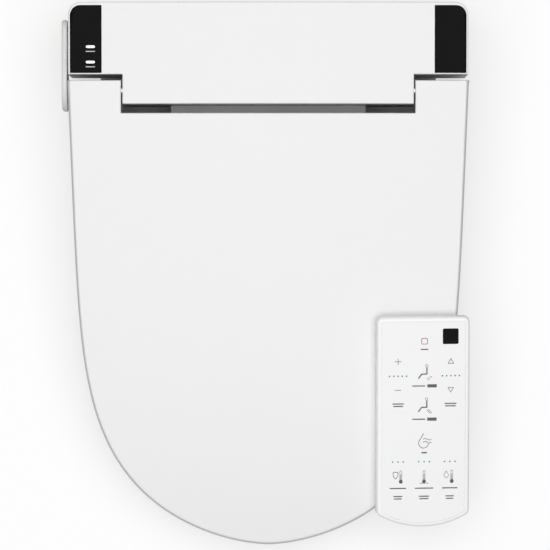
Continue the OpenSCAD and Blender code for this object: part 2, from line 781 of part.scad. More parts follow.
module night_light() color([0.9, 0.95, 1]) translate([-50, 0, 20]) {
    y_rod(4.9, -snout_front + 0.2, -snout_front + wall);
    y_rod(7, -snout_front + wall, -snout_front + wall + 5);
}

module case_screws() color("silver") for (s = [-1, 1]) translate([s * screw_x, screw_y, 0]) {
    translate([0, 0, split_z + 1]) cylinder(r = 1.7, h = 18, $fn = 48);
}

latch_in = plate_w / 2 + 4.6;
module release_button() color(grey) translate([0, button_y, button_z]) {
    x_rod(6, body_half - 6, body_half);
    block([latch_in, -4, -9], [body_half - 5, 4, -4]);
    block([body_half - 9, -4, -9], [body_half - 5, 4, 4]);
}

// ---- seat ----

seat_rear = -24;
ear_x = core_half + 1.4;
eye_x0 = ear_x + 3.5;
eye_x1 = eye_x0 + 10.5;
leg_x = eye_x1 + 1.5;
seat_back = core_front + 11;
pocket_half = snout_half + 3;
pocket_top = snout_top + 2.5;
low_pocket = snout_top - 5;
low_start = snout_front + 2;
// Where the hole is nearly as wide as the pocket
pocket_y = -hole_front + hole_len * sqrt(1 - pow((pocket_half - 5) / hole_half, 2));

function hole_point(a, d) = let (c = cos(a), s = sin(a), w = hole_half - d, l = hole_len - d)
    [0, -hole_front] + [s, c] * (w * l / sqrt(pow(l * s, 2) + pow(w * c, 2)));

// The ring's section at an outline point: shares of the way from the outer edge to the hole
function ring_at(p, s) = let (a = atan2(p[0], p[1] + hole_front), q = hole_point(a, 0)) p + (q - p) * s;

crown_cuts = [[0, 12], [0.02, 6], [0.07, 2], [0.16, 0.3], [0.35, 0], [0.62, 1], [0.83, 4], [0.95, 9], [1, 16]];

function ring_loop(pts, s, f, drop) = [for (p = pts) let (q = ring_at(p, s)) [q[0], q[1], f < 0 ? seat_low : seat_z(q[1]) - f - drop]];

module ring_cuts(d = 0) {
    block([-leg_x - d, -seat_back - d, -1], [leg_x + d, cut, cut]);
    block([-pocket_half - d, -low_start - d, -1], [pocket_half + d, cut, pocket_top + d]);
    block([-pocket_half - d, pocket_y, -1], [pocket_half + d, cut, low_pocket]);
}

module seat_top() color(white) {
    pts = outline(seat_inset, seat_rear);
    w = seat_wall;
    thin = [for (c = crown_cuts) [max(0.035, min(0.965, c[0])), c[1] < 1 ? c[1] : c[1] + 0.6]];
    difference() {
        skin(concat([ring_loop(pts, 0, -1, 0)], [for (c = crown_cuts) ring_loop(pts, c[0], c[1], 0)],
            [ring_loop(pts, 1, -1, 0), ring_loop(pts, 0.965, -1, 0)],
            [for (i = [len(thin) - 1:-1:0]) ring_loop(pts, thin[i][0], thin[i][1], w)],
            [ring_loop(pts, 0.035, -1, 0)]), ring = true);
        ring_cuts();
    }
}

warm_cuts = [[0.16, 0.4], [0.35, 0.1], [0.62, 1.7], [0.8, 4.3]];
module seat_heater() color("orange") {
    pts = outline(seat_inset, seat_rear);
    difference() {
        skin([for (c = warm_cuts) ring_loop(pts, c[0], c[1], seat_wall + 0.35),
            for (c = [for (i = [3:-1:0]) warm_cuts[i]]) ring_loop(pts, c[0], c[1], seat_wall + 0.85)], ring = true);
        ring_cuts(3);
    }
}

module ring_plan(d_out, d_in) difference() {
    polygon(outline(seat_inset + d_out, seat_rear - d_out));
    polygon([for (a = [0:6:354]) hole_point(a, -d_in)]);
}

module seat_bottom() color(white) {
    t = seat_wall;
    // ring plate
    translate([0, 0, seat_low]) linear_extrude(t) difference() {
        ring_plan(9, 5.5);
        translate([-leg_x - 3, -seat_back - 3]) square([2 * leg_x + 6, cut]);
        translate([-pocket_half - t, pocket_y - 0.5]) square([2 * (pocket_half + t), cut]);
    }
    // pocket over the snout: sides and stepped roof
    both_sides() {
        block([pocket_half, pocket_y, seat_low], [pocket_half + t, -seat_back, low_pocket]);
        block([pocket_half, -low_start - t, low_pocket - eps], [pocket_half + t, -seat_back, pocket_top]);
        // rear wall, leg sides and the plates that carry the eyes
        block([pocket_half, -seat_back - t, seat_low], [leg_x + t, -seat_back - eps, seat_z(-seat_back) - 3.5]);
        block([leg_x, -seat_back - t, seat_low], [leg_x + t, seat_rear - 16, seat_z(-seat_back) - 3.5]);
        block([60, -low_start - t, low_pocket], [pocket_half + t, -low_start, pocket_top]);
        block([leg_x, -seat_back - 26, seat_low], [leg_x + 24, seat_rear - 6, seat_low + t]);
        yz_plate(eye_x0, eye_x1) difference() {
            union() {
                polygon([[hinge_y + eye_r - 1.6, hinge_z - 4.4], [hinge_y - eye_r, hinge_z], [-seat_back + 0.3, 84],
                    [-seat_back + 0.3, seat_low], [hinge_y - 5, seat_low], [hinge_y - 5, 98]]);
                translate([hinge_y, hinge_z]) circle(eye_r, $fn = round_fn);
            }
            translate([hinge_y, hinge_z]) circle(pin_r + pin_fit, $fn = round_fn);
        }
        block([eye_x0, -seat_back - 1, seat_low], [eye_x1, -seat_back + 1, seat_z(-seat_back) - 3.5]);
    }
    block([-pocket_half - t, -seat_back - t, pocket_top - eps], [pocket_half + t, -seat_back - eps, seat_z(-seat_back) - 3.5]);
    translate([0, 0, pocket_top]) linear_extrude(1.5) intersection() {
        ring_plan(9, 30);
        translate([-pocket_half - t, -low_start - t]) square([2 * (pocket_half + t), low_start + t - seat_back - 1]);
    }
    translate([0, 0, low_pocket]) linear_extrude(1.5) intersection() {
        ring_plan(9, 18);
        translate([-pocket_half - t, pocket_y]) square([2 * (pocket_half + t), -pocket_y - low_start]);
    }
}

bumper_spots = [[168, -110], [148, -345]];
module seat_bumpers() color(dark) both_sides() for (p = bumper_spots) translate([p[0] - 3, p[1], 0]) {
    block([-6, -14, 0], [6, 14, seat_low]);
    block([-2, -10, seat_low - eps], [2, 10, seat_low]);
}

// ---- lid ----

ear_rear = -18.4;
notch_y = -49.9;
lid_pull = 0.6;

// One loop of the lid: drawn in by d, lowered by f from its top, or on the rim plane when f < 0
function lid_loop(d, f) = let (rear = ear_rear - d * lid_pull)
    [for (p = outline(d, rear, lid_pull)) [p[0], p[1], f < 0 ? rim(p[1]) : lid_z(p[0], p[1]) - f]];

lid_out = [[0, -1], [0, 7], [0.7, 3.2], [2.4, 0.9], [6, 0], [40, 0], [90, 0], [140, 0], [184, 0]];
lid_in = [[184, 0], [140, 0], [90, 0], [40, 0], [9, 0.3], [4.4, 1.6], [lid_wall, 5]];

module lid_shell() color(white) difference() {
    skin(concat([for (i = [len(lid_out) - 1:-1:0]) lid_loop(lid_out[i][0], lid_out[i][1])],
        [lid_loop(lid_wall, -1)],
        [for (i = [len(lid_in) - 1:-1:0]) lid_loop(lid_in[i][0], lid_in[i][1] + lid_wall)]));
    block([-ear_x, notch_y, 50], [ear_x, 0, 150]);
    block([-body_half - 20, ear_rear - 3.2, 50], [body_half + 20, 0, ear_low]);
}
ear_low = 120;

rim_tilt = atan(rim_slope);
liner_t = 2.5;
liner_up = 1;
apron_z = lid_z(ear_x, notch_y) - lid_wall - 0.8;
module on_rim() translate([0, -50, rim_z + liner_up]) rotate([rim_tilt, 0, 0]) translate([0, 50, 0]) children();

module lid_liner() color(white) {
    on_rim() linear_extrude(liner_t) difference() {
        polygon(outline(lid_wall + 0.4, ear_rear - 3));
        translate([-ear_x, notch_y - 0.1]) square([2 * ear_x, cut]);
        for (s = [-1, 1]) translate([s * (eye_x0 + eye_x1) / 2, -30]) square([eye_x1 - eye_x0 + 2, 60], center = true);
    }
    // apron along the notch, and the inner walls of the ears
    block([-ear_x - 1.6, notch_y - 2.4, rim_z + liner_up + 1], [ear_x + 1.6, notch_y, apron_z]);
    both_sides() difference() {
        block([ear_x + 0.2, notch_y - 1.2, rim_z + 3.2], [ear_x + 2.3, ear_rear - 3.5, apron_z - 2]);
        at_hinge() x_rod(pin_r + 0.6, ear_x - 1, ear_x + 3);
    }
    both_sides() yz_plate(eye_x1 + 2, pin_out - 1) difference() {
        union() {
            polygon([[hinge_y + eye_r, hinge_z], [hinge_y - eye_r, hinge_z], [-64, rim_z + 1.5], [-34, rim_z + 2.5]]);
            translate([hinge_y, hinge_z]) circle(eye_r, $fn = round_fn);
        }
        translate([hinge_y, hinge_z]) circle(pin_r + pin_fit, $fn = round_fn);
    }
}

module lid_bumpers() color(dark) both_sides() for (p = [[150, -120], [125, -372]])
    translate([p[0], p[1], seat_z(p[1]) + 0.4]) cylinder(r = 6, h = seat_gap + liner_up - 0.9, $fn = 48);

// ---- remote ----

r_wall = 2;
remote_tilt_x = atan(lid_slope - (remote_y + 50) / arch_r);
remote_tilt_y = atan(remote_x / crown_r);
split_t = 8;

// The remote's own frame: its back on z = 0, its length along y
module on_lid() translate([remote_x, remote_y, lid_z(remote_x, remote_y) + gap])
    rotate([remote_tilt_x, 0, 0]) rotate([0, remote_tilt_y, 0]) children();

// Plan of the remote: straight sides, an arched lower end
module remote_plan(d) {
    w = remote_w / 2 - d;
    top = remote_len / 2 - d;
    arch = 13;
    r = (pow(remote_w / 2, 2) + arch * arch) / (2 * arch);
    intersection() {
        translate([-w, -remote_len / 2]) square([2 * w, top + remote_len / 2]);
        translate([0, -remote_len / 2 + r]) circle(r - d, $fn = 256);
        union() {
            translate([-w, -remote_len]) square([2 * w, remote_len + top - 5]);
            translate([-w + 5, -remote_len]) square([2 * w - 10, remote_len + top]);
            for (s = [-1, 1]) translate([s * (w - 5), top - 5]) circle(5, $fn = 48);
        }
    }
    translate([-w, -remote_len / 2 + r]) square([2 * w, max(0.01, top - 5 + remote_len / 2 - r)]);
}

module remote_front() color(white) on_lid() difference() {
    translate([0, 0, split_t]) linear_extrude(remote_t - split_t) remote_plan(0);
    translate([0, 0, split_t - 1]) linear_extrude(remote_t - split_t + 1 - r_wall) remote_plan(r_wall);
    translate([0, 0, remote_t - film_t]) linear_extrude(1) remote_plan(film_in);
}
film_t = 0.6;
film_in = 3.9;

module remote_film() color([0.95, 0.95, 0.95]) on_lid()
    translate([0, 0, remote_t - film_t]) linear_extrude(film_t) remote_plan(film_in + 0.1);

bat_half = 15;
bat_y0 = -74;
bat_y1 = -22;
door_t = 1.4;

module remote_back() color(white) on_lid() difference() {
    linear_extrude(split_t) remote_plan(0);
    difference() {
        translate([0, 0, r_wall]) linear_extrude(split_t) remote_plan(r_wall);
        // board posts and battery bay walls
        for (x = [-34, 34], y = [-80, 80]) translate([x, y, 0]) cylinder(r = 3, h = split_t - 0.01, $fn = 32);
        block([-bat_half - 1.5, bat_y0 - 1.5, 0], [bat_half + 1.5, bat_y1 + 1.5, 5]);
    }
    block([-bat_half, bat_y0, -1], [bat_half, bat_y1, 6]);
    // channel that the door slides out of at the lower end
    block([-bat_half - 1, -remote_len, -1], [bat_half + 1, bat_y1 + 2, door_t + 0.15]);
}

module battery_door() color(white) on_lid() linear_extrude(door_t) intersection() {
    remote_plan(0);
    translate([-bat_half - 0.8, -remote_len]) square([2 * bat_half + 1.6, remote_len + bat_y1 + 1.7]);
}

module batteries() color([0.2, 0.3, 0.5]) on_lid() for (x = [-7, 7])
    translate([x, 0, 7.2]) y_rod(5.25, bat_y0 + 4, bat_y1 - 4);

module remote_board() color("darkgreen") on_lid() {
    block([-40, -86, remote_t - r_wall - 2], [40, 92, remote_t - r_wall - 0.4]);
}

// ---- nodes ----

mounting_plate();
plate_pad();
base_housing();
top_cover();
left_panel();
right_panel();
indicator_lenses();
side_panel();
side_switches();
side_key(0);  // wash_button
side_key(1);  // stop_button
side_key(2);  // dry_button
hinge_pins();
seat_damper();
lid_damper();
water_inlet();
inlet_strainer();
inlet_valve();
water_heater();
heater_element();
diverter_valve();
water_pipes();
nozzle_guide();
nozzle_guard();
nozzle_motors();
wand(-wand_x);  // rear_wand
wand_tip(-wand_x);  // rear_wand_tip
wand(wand_x);  // front_wand
wand_tip(wand_x);  // front_wand_tip
drive_pinion(-wand_x, -1);  // rear_drive_pinion
drive_pinion(wand_x, 1);  // front_drive_pinion
dryer_duct();
dryer_motor();
dryer_impeller();
dryer_heater();
dryer_flap();
deodorizer_case();
deodorizer_motor();
deodorizer_impeller();
carbon_filter();
filter_holder();
control_board();
power_board();
cord_gland();
night_light();
case_screws();
release_button();
seat_top();
seat_bottom();
seat_heater();
seat_bumpers();
lid_shell();
lid_liner();
lid_bumpers();
remote_front();
remote_back();
remote_film();
remote_board();
batteries();
battery_door();
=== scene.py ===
"""Looks of an electric bidet seat with a side panel and a remote control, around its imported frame.

Sizes are in millimetres until a mesh takes its place, and the row frame is in metres.
"""

import json
import math

import bmesh
import bpy
from bpy.props import FloatProperty, FloatVectorProperty, PointerProperty
from mathutils import Matrix, Vector


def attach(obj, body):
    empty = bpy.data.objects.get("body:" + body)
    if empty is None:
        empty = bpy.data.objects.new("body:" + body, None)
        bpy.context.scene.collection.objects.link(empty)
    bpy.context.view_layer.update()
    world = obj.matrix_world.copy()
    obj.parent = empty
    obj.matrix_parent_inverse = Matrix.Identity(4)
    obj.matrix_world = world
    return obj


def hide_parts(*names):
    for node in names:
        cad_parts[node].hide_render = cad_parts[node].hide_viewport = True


bl_info = {
    "name": "Bidet seat",
    "version": (1, 0, 0),
    "blender": (4, 5, 0),
    "location": "3D View > Sidebar > Bidet",
    "description": "Builds the shells, controls and finishes of an electric bidet seat",
    "category": "Add Mesh",
}

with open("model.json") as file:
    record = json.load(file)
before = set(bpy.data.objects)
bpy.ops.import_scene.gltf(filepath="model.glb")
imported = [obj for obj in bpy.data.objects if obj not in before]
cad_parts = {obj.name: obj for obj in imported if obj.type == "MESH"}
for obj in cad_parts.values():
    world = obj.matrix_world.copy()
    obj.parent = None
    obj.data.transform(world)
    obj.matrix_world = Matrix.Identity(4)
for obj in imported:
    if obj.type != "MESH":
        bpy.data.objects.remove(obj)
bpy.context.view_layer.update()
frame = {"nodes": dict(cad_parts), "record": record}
RECORD_SLOTS = {m["slot"] for m in frame["record"]["materials"]}

MM = 0.001
SMOOTH = math.radians(38)
SMOOTH_CAD = math.radians(28)

# Main unit
BODY_HALF = 193.0
BODY_BACK = 57.0
CORE_HALF = 140.6
CORE_FRONT = 41.0
SIDE_FRONT = 12.6
BODY_CORNER = 12.0
SPLIT_Z = 62.0
TOP_Z = 138.0
TOP_FALL = math.tan(math.radians(3.74))
CROWN_R = 2300.0
WALL = 2.4

# Gloss panels and lamps on the main unit's top
GLOSS_WIDTH = 30.8
GLOSS_EDGE = 1.7
GLOSS_FRONT, GLOSS_BACK = -11.4, 54.0
LENS_X = -171.4
LENS_Y = (13.9, -0.9)
LENS_SIZE = (8.8, 2.5)

# Side panel and its keys
SIDE_OUT, SIDE_IN = -200.0, -194.6
SIDE_PLAN = (-47, 41, 52, 104)
KEY_Z = 78
KEY_Y = {"wash_button": 20, "stop_button": -2, "dry_button": -24}
KEY_R = 7.5
WELL_R = 7.75

# Lid and seat
LID_HALF = 194.14
LID_START = -22.0
LID_LENGTH = 447.16
LID_PULL = 0.6
SIDE_TAPER = 0.0902
SIDE_POWER = 6.158
TIP_POWER = 1.703
LID_TOP = 130.4
LID_SLOPE = 0.0875
ARCH_R = 3315.0
EAR_REAR = -18.4
NOTCH_Y = -49.85
LID_LEAN = 1.9
NOTCH_HALF = 142.0
NOTCH_FOOT = 120.0
EAR_FOOT = 122.5
RIM_Z = 70.0
RIM_SLOPE = 0.0585
SEAT_GAP = 4.0
SEAT_INSET = 1.5
SEAT_LOW = 9.0
SEAT_BACK = -24.0
SEAT_WALL = 0.035
HOLE_HALF = 108.0
HOLE_LENGTH = 142.0
HOLE_Y = -258.0
# Room for the main unit behind and under the seat: half-width, front and top of each cut
SEAT_CUTS = ((157.5, -52, 200), (98, -107, 51.5), (98, -185.8, 44))

# Remote control, in its own frame: its back on z = 0, its length along y
REMOTE_HALF = 45.0
REMOTE_LENGTH = 207.0
REMOTE_T = 17.0
REMOTE_SPLIT = 8.0
REMOTE_ARCH = 13.0
FILM_IN = 3.9
FILM_T = 0.6
REMOTE_AT = (149.0, -346.0)
REMOTE_REST = 0.3
WINDOW_AT = (26.3, 84.6)
WINDOW_SIZE = 15.3
CELL_LENGTH = 46.0


def cover_z(x, y):
    """Height of the main unit's crowned top."""
    return TOP_Z - (BODY_BACK - y) * TOP_FALL - x * x / (2 * CROWN_R)


def lid_z(x, y):
    """Height of the lid's arched top."""
    return LID_TOP + (y + 50) * LID_SLOPE - min(y + 50, 0) ** 2 / (2 * ARCH_R) - x * x / (2 * CROWN_R)


def rim_z(y):
    """Height of the lid's rim."""
    return RIM_Z + (y + 50) * RIM_SLOPE


def seat_z(y):
    """Height of the seat's top plane."""
    return rim_z(y) - SEAT_GAP


# ---- modelling ----


def pick_nothing():
    """Leaves no object selected."""
    if bpy.context.object and bpy.context.object.mode != "OBJECT":
        bpy.ops.object.mode_set(mode="OBJECT")
    bpy.ops.object.select_all(action="DESELECT")


def pick(obj):
    """Selects one object alone and makes it active."""
    pick_nothing()
    obj.select_set(True)
    bpy.context.view_layer.objects.active = obj


def take_primitive(name):
    """Names the primitive that was just added."""
    obj = bpy.context.object
    obj.name = obj.data.name = name
    return obj


def place_selected(mesh, layer_names, spot):
    """Moves each selected vertex to where spot puts it, by the numbers kept in its layers."""
    bm = bmesh.from_edit_mesh(mesh)
    layers = [bm.verts.layers.int[n] for n in layer_names]
    for v in bm.verts:
        if v.select:
            v.co = [c * MM for c in spot(*[v[l] for l in layers])]
    bmesh.update_edit_mesh(mesh)


def draw_out(name, loops, ring=False, at=None):
    """A circle laid on the first loop and extruded to each next one, its ends filled, or joined in a ring."""
    pick_nothing()
    bpy.ops.mesh.primitive_circle_add(vertices=len(loops[0]), radius=1)
    obj = take_primitive(name)
    bpy.ops.object.mode_set(mode="EDIT")
    bm = bmesh.from_edit_mesh(obj.data)
    turn = bm.verts.layers.int.new("turn")
    for i, v in enumerate(bm.verts):
        v[turn] = i
    bmesh.update_edit_mesh(obj.data)
    for k, loop in enumerate(loops):
        if k:
            bpy.ops.mesh.extrude_region_move()
        place_selected(obj.data, ["turn"], lambda i: loop[i])
    if ring:
        bpy.ops.mesh.select_all(action="DESELECT")
        bpy.ops.mesh.select_non_manifold(extend=False)
        bpy.ops.mesh.bridge_edge_loops()
    else:
        bpy.ops.mesh.select_all(action="SELECT")
        bpy.ops.mesh.fill_holes(sides=0)
    bpy.ops.mesh.select_all(action="SELECT")
    bpy.ops.mesh.normals_make_consistent(inside=False)
    bpy.ops.object.mode_set(mode="OBJECT")
    if at:
        obj.data.transform(at)
    bpy.ops.object.shade_smooth_by_angle(angle=SMOOTH)
    return obj


def crowned_shell(name, across, along, spot, dropped, height, edge, foot, wall):
    """A grid laid over a crowned top, its border extruded over a rolled edge and down to the foot, given a wall."""
    pick_nothing()
    bpy.ops.mesh.primitive_grid_add(x_subdivisions=across, y_subdivisions=along, size=2)
    obj = take_primitive(name)
    bpy.ops.object.mode_set(mode="EDIT")
    bm = bmesh.from_edit_mesh(obj.data)
    column = bm.verts.layers.int.new("column")
    row = bm.verts.layers.int.new("row")
    for v in bm.verts:
        v[column] = round((v.co.x + 1) / 2 * across)
        v[row] = round((v.co.y + 1) / 2 * along)
    bmesh.update_edit_mesh(obj.data)
    bpy.ops.mesh.select_mode(type="FACE")
    bpy.ops.mesh.select_all(action="DESELECT")
    bm = bmesh.from_edit_mesh(obj.data)
    column, row = bm.verts.layers.int["column"], bm.verts.layers.int["row"]
    for f in bm.faces:
        if dropped(min(v[column] for v in f.verts), min(v[row] for v in f.verts)):
            f.select_set(True)
    bmesh.update_edit_mesh(obj.data)
    bpy.ops.mesh.delete(type="FACE")
    bpy.ops.mesh.select_mode(type="VERT")
    bpy.ops.mesh.select_all(action="SELECT")
    start = edge[0]

    def top_spot(i, j, inset=start[0], drop=start[1]):
        x, y = spot(i, j, inset)
        return x, y, max(height(x, y) - drop, foot(x, y))

    def foot_spot(i, j):
        x, y = spot(i, j, 0)
        return x, y, foot(x, y)

    place_selected(obj.data, ["column", "row"], top_spot)
    bpy.ops.mesh.select_all(action="DESELECT")
    bpy.ops.mesh.select_non_manifold(extend=False)
    for inset, drop in edge[1:]:
        bpy.ops.mesh.extrude_region_move()
        place_selected(obj.data, ["column", "row"], lambda i, j: top_spot(i, j, inset, drop))
    bpy.ops.mesh.extrude_region_move()
    place_selected(obj.data, ["column", "row"], foot_spot)
    bpy.ops.mesh.select_all(action="SELECT")
    bpy.ops.mesh.normals_make_consistent(inside=False)
    bpy.ops.object.mode_set(mode="OBJECT")
    if obj.data.polygons[0].normal.z < 0:
        obj.data.flip_normals()
    give_wall(obj, wall)
    bpy.ops.object.shade_smooth_by_angle(angle=SMOOTH)
    return obj


def give_wall(obj, wall):
    """Turns an open skin into a shell of even thickness, inwards."""
    solidify = obj.modifiers.new("wall", "SOLIDIFY")
    solidify.thickness = wall * MM
    solidify.offset = -1
    solidify.use_even_offset = False
    pick(obj)
    bpy.ops.object.modifier_apply(modifier=solidify.name)


def block(name, low, high):
    """A box from its lowest corner to its highest."""
    pick_nothing()
    middle = [(a + b) / 2 * MM for a, b in zip(low, high)]
    bpy.ops.mesh.primitive_cube_add(size=1, location=middle, scale=[(b - a) * MM for a, b in zip(low, high)])
    obj = take_primitive(name)
    bpy.ops.object.transform_apply(location=True, rotation=True, scale=True)
    return obj


def cut_away(obj, *tools):
    """Takes the tools' shapes out of obj."""
    for tool in tools:
        cut = obj.modifiers.new("cut", "BOOLEAN")
        cut.operation = "DIFFERENCE"
        cut.solver = "EXACT"
        cut.object = tool
        pick(obj)
        bpy.ops.object.modifier_apply(modifier=cut.name)
        bpy.data.objects.remove(tool)
    bpy.ops.object.shade_smooth_by_angle(angle=SMOOTH)


def joined(name, pieces):
    """Several pieces made one object."""
    pick_nothing()
    for p in pieces:
        p.select_set(True)
    bpy.context.view_layer.objects.active = pieces[0]
    if len(pieces) > 1:
        bpy.ops.object.join()
    obj = pieces[0]
    obj.name = obj.data.name = name
    return obj


def settle(obj, body, slot, *nodes):
    """Puts a finished piece on its body, in place of CAD nodes, with the finish of its slot."""
    obj.data.materials.clear()
    obj.data.materials.append(FINISHES[slot])
    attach(obj, body)
    if nodes:
        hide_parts(*nodes)
    slot in RECORD_SLOTS


def rounded(corners, radii, steps=10):
    """A polygon's corners turned to arcs: (x, y) corners in order, a radius for each."""
    points = []
    n = len(corners)
    for i, (corner, r) in enumerate(zip(corners, radii)):
        if not r:
            points.append(corner)
            continue
        before = corners[i - 1]
        after = corners[(i + 1) % n]
        a = unit(before[0] - corner[0], before[1] - corner[1])
        b = unit(after[0] - corner[0], after[1] - corner[1])
        half = math.acos(max(-1, min(1, a[0] * b[0] + a[1] * b[1]))) / 2
        m = unit(a[0] + b[0], a[1] + b[1])
        c = (corner[0] + m[0] * r / math.sin(half), corner[1] + m[1] * r / math.sin(half))
        reach = r / math.tan(half)
        start = (corner[0] + a[0] * reach - c[0], corner[1] + a[1] * reach - c[1])
        end = (corner[0] + b[0] * reach - c[0], corner[1] + b[1] * reach - c[1])
        a0 = math.atan2(start[1], start[0])
        sweep = (math.atan2(end[1], end[0]) - a0 + math.pi) % (2 * math.pi) - math.pi
        points += [(c[0] + r * math.cos(a0 + sweep * k / steps), c[1] + r * math.sin(a0 + sweep * k / steps))
                   for k in range(steps + 1)]
    return points


def unit(x, y):
    """The direction of a vector."""
    size = math.hypot(x, y)
    return x / size, y / size


def roll(radius, depth, fullness=2.4, steps=9):
    """The section of a rolled edge, from the top: (inset, drop) pairs, ending upright."""
    points = []
    for k in range(steps + 1):
        angle = math.pi / 2 * k / steps
        points.append((radius * (1 - math.sin(angle) ** (2 / fullness)),
                       depth * (1 - math.cos(angle) ** (2 / fullness))))
    return points


# ---- finishes ----


class Value:
    """A socket of a node tree, so that sums written on it become Math nodes."""

    def __init__(self, nodes, socket):
        self.nodes = nodes
        self.socket = socket

    def sum(self, operation, *values):
        """A Math node of an operation."""
        return self.nodes.node("ShaderNodeMath", {"operation": operation}, values)

    def __add__(self, other):
        return self.sum("ADD", self, other)

    __radd__ = __add__

    def __sub__(self, other):
        return self.sum("SUBTRACT", self, other)

    def __rsub__(self, other):
        return self.sum("SUBTRACT", other, self)

    def __mul__(self, other):
        return self.sum("MULTIPLY", self, other)

    __rmul__ = __mul__

    def __truediv__(self, other):
        return self.sum("DIVIDE", self, other)

    def __gt__(self, other):
        return self.sum("GREATER_THAN", self, other)

    def __lt__(self, other):
        return self.sum("LESS_THAN", self, other)

    def __abs__(self):
        return self.sum("ABSOLUTE", self)


class Nodes:
    """The node tree of a material or of the world."""

    def __init__(self, tree):
        self.tree = tree

    def node(self, kind, settings, inputs, output=0):
        """Adds a node of a type with its settings, then the values or links of its sockets."""
        made = self.tree.nodes.new(kind)
        for key, value in settings.items():
            setattr(made, key, value)
        pairs = inputs.items() if isinstance(inputs, dict) else enumerate(inputs)
        for key, value in pairs:
            if isinstance(value, Value):
                self.link(value, made.inputs[key])
            else:
                made.inputs[key].default_value = value
        return made if output is None else Value(self, made.outputs[output])

    def link(self, value, socket):
        """Links a value to a socket."""
        self.tree.links.new(value.socket, socket)


FINISHES = {}


class Shader(Nodes):
    """A material, whose Object coordinates come scaled to millimetres."""

    def __init__(self, name, **fixed):
        self.material = bpy.data.materials.new(name)
        FINISHES[name] = self.material
        self.material.use_nodes = True
        super().__init__(self.material.node_tree)
        self.tree.nodes.clear()
        sockets = {socket.replace("_", " "): value for socket, value in fixed.items()}
        self.surface = self.node("ShaderNodeBsdfPrincipled", {}, sockets, None)
        self.shown = Value(self, self.surface.outputs[0])
        self.out = self.node("ShaderNodeOutputMaterial", {}, {"Surface": self.shown}, None)
        spot = self.node("ShaderNodeTexCoord", {}, [], "Object")
        self.place = self.node("ShaderNodeVectorMath", {"operation": "SCALE"}, {0: spot, "Scale": 1 / MM})
        parts = self.node("ShaderNodeSeparateXYZ", {}, [self.place], None)
        self.x, self.y = [Value(self, parts.outputs[i]) for i in range(2)]

    def feed(self, socket, value):
        """Links a value to a socket of the surface."""
        self.link(value, self.surface.inputs[socket])

    def spread(self, size, stretch):
        """Coordinates in steps of a size in millimetres, stretched along each axis."""
        return self.node("ShaderNodeMapping", {}, {"Vector": self.place, "Scale": [s / size for s in stretch]})

    def noise(self, size, detail=2.0, stretch=(1, 1, 1)):
        """Soft noise from 0 to 1, with features of a size in millimetres."""
        at = self.spread(size, stretch)
        return self.node("ShaderNodeTexNoise", {}, {"Vector": at, "Scale": 1.0, "Detail": detail})

    def cells(self, size, feature="F1", output="Distance", stretch=(1, 1, 1)):
        """Cells of a size in millimetres."""
        at = self.spread(size, stretch)
        return self.node("ShaderNodeTexVoronoi", {"feature": feature}, {"Vector": at, "Scale": 1.0}, output)

    def blend(self, share, a, b):
        """A colour between a and b."""
        a, b = [side if isinstance(side, Value) else (*side, 1) for side in (a, b)]
        return self.node("ShaderNodeMix", {"data_type": "RGBA"}, {0: share, 6: a, 7: b}, 2)

    def relief(self, height, depth):
        """Bumps of a depth in millimetres."""
        sockets = {"Height": height, "Distance": depth * MM, "Strength": 1.0}
        self.feed("Normal", self.node("ShaderNodeBump", {}, sockets, "Normal"))


def shade(color, by):
    """A colour made lighter or darker."""
    return tuple(max(0.0, min(1.0, c * by)) for c in color)


def moulded(name, color, rough, grain=0.012, grain_size=0.9, cloud=0.02, **fixed):
    """Moulded plastic: faint clouding, fine surface texture, and a gloss that varies a little."""
    s = Shader(name, **fixed)
    clouds = s.noise(60, 3)
    s.feed("Base Color", s.blend(clouds, shade(color, 1 - cloud), shade(color, 1 + cloud)))
    fine = s.noise(grain_size, 3)
    s.feed("Roughness", rough * 0.85 + s.noise(18, 2) * (rough * 0.3))
    s.relief(fine, grain)


def turned_metal(name, color, rough):
    """Turned or drawn metal, with fine marks along one way."""
    s = Shader(name, Metallic=1.0)
    marks = s.noise(0.35, 3, (0.05, 1, 1))
    s.feed("Base Color", s.blend(s.noise(14, 3), shade(color, 0.82), color))
    s.feed("Roughness", marks * 0.18 + (rough - 0.06))
    s.relief(marks, 0.006)
    return s


def circuit_board(name):
    """Green lacquer over copper tracks, with pale pads."""
    s = Shader(name)
    tracks = s.cells(5.5, "DISTANCE_TO_EDGE") < 0.07
    pads = s.cells(6.5, stretch=(1, 1, 0.2)) < 0.13
    lacquer = s.blend(tracks, (0.008, 0.11, 0.035), (0.03, 0.2, 0.07))
    s.feed("Base Color", s.blend(pads, lacquer, (0.62, 0.62, 0.58)))
    s.feed("Metallic", pads * 0.8)
    s.feed("Roughness", 0.42 - pads * 0.15)
    s.relief(tracks, 0.03)


def carbon_block(name):
    """Honeycomb of activated carbon."""
    s = Shader(name)
    walls = s.cells(2.6, "DISTANCE_TO_EDGE", stretch=(0.2, 1, 1)) < 0.09
    s.feed("Base Color", s.blend(walls, (0.006, 0.006, 0.007), (0.045, 0.045, 0.05)))
    s.feed("Roughness", 0.85 - s.noise(1.4, 2) * 0.2)
    s.relief(walls, 0.25)


def heating_foil(name):
    """Aluminium foil over a heating wire laid in rings round the seat's hole."""
    s = Shader(name, Metallic=1.0)
    across, along = 0.05, 0.04
    at = s.node("ShaderNodeMapping", {},
                {"Vector": s.place, "Location": (0, -HOLE_Y * along, 0), "Scale": (across, along, along)})
    runs = s.node("ShaderNodeTexWave", {"wave_type": "RINGS", "rings_direction": "Z"},
                  {"Vector": at, "Scale": 1.0, "Distortion": 0.4}, "Fac")
    s.feed("Base Color", s.blend(s.noise(9, 3), (0.55, 0.56, 0.58), (0.74, 0.75, 0.77)))
    s.feed("Roughness", 0.24 + s.noise(3, 3) * 0.2)
    s.relief((runs > 0.8) * 0.6 + s.noise(5, 3) * 0.4, 0.3)


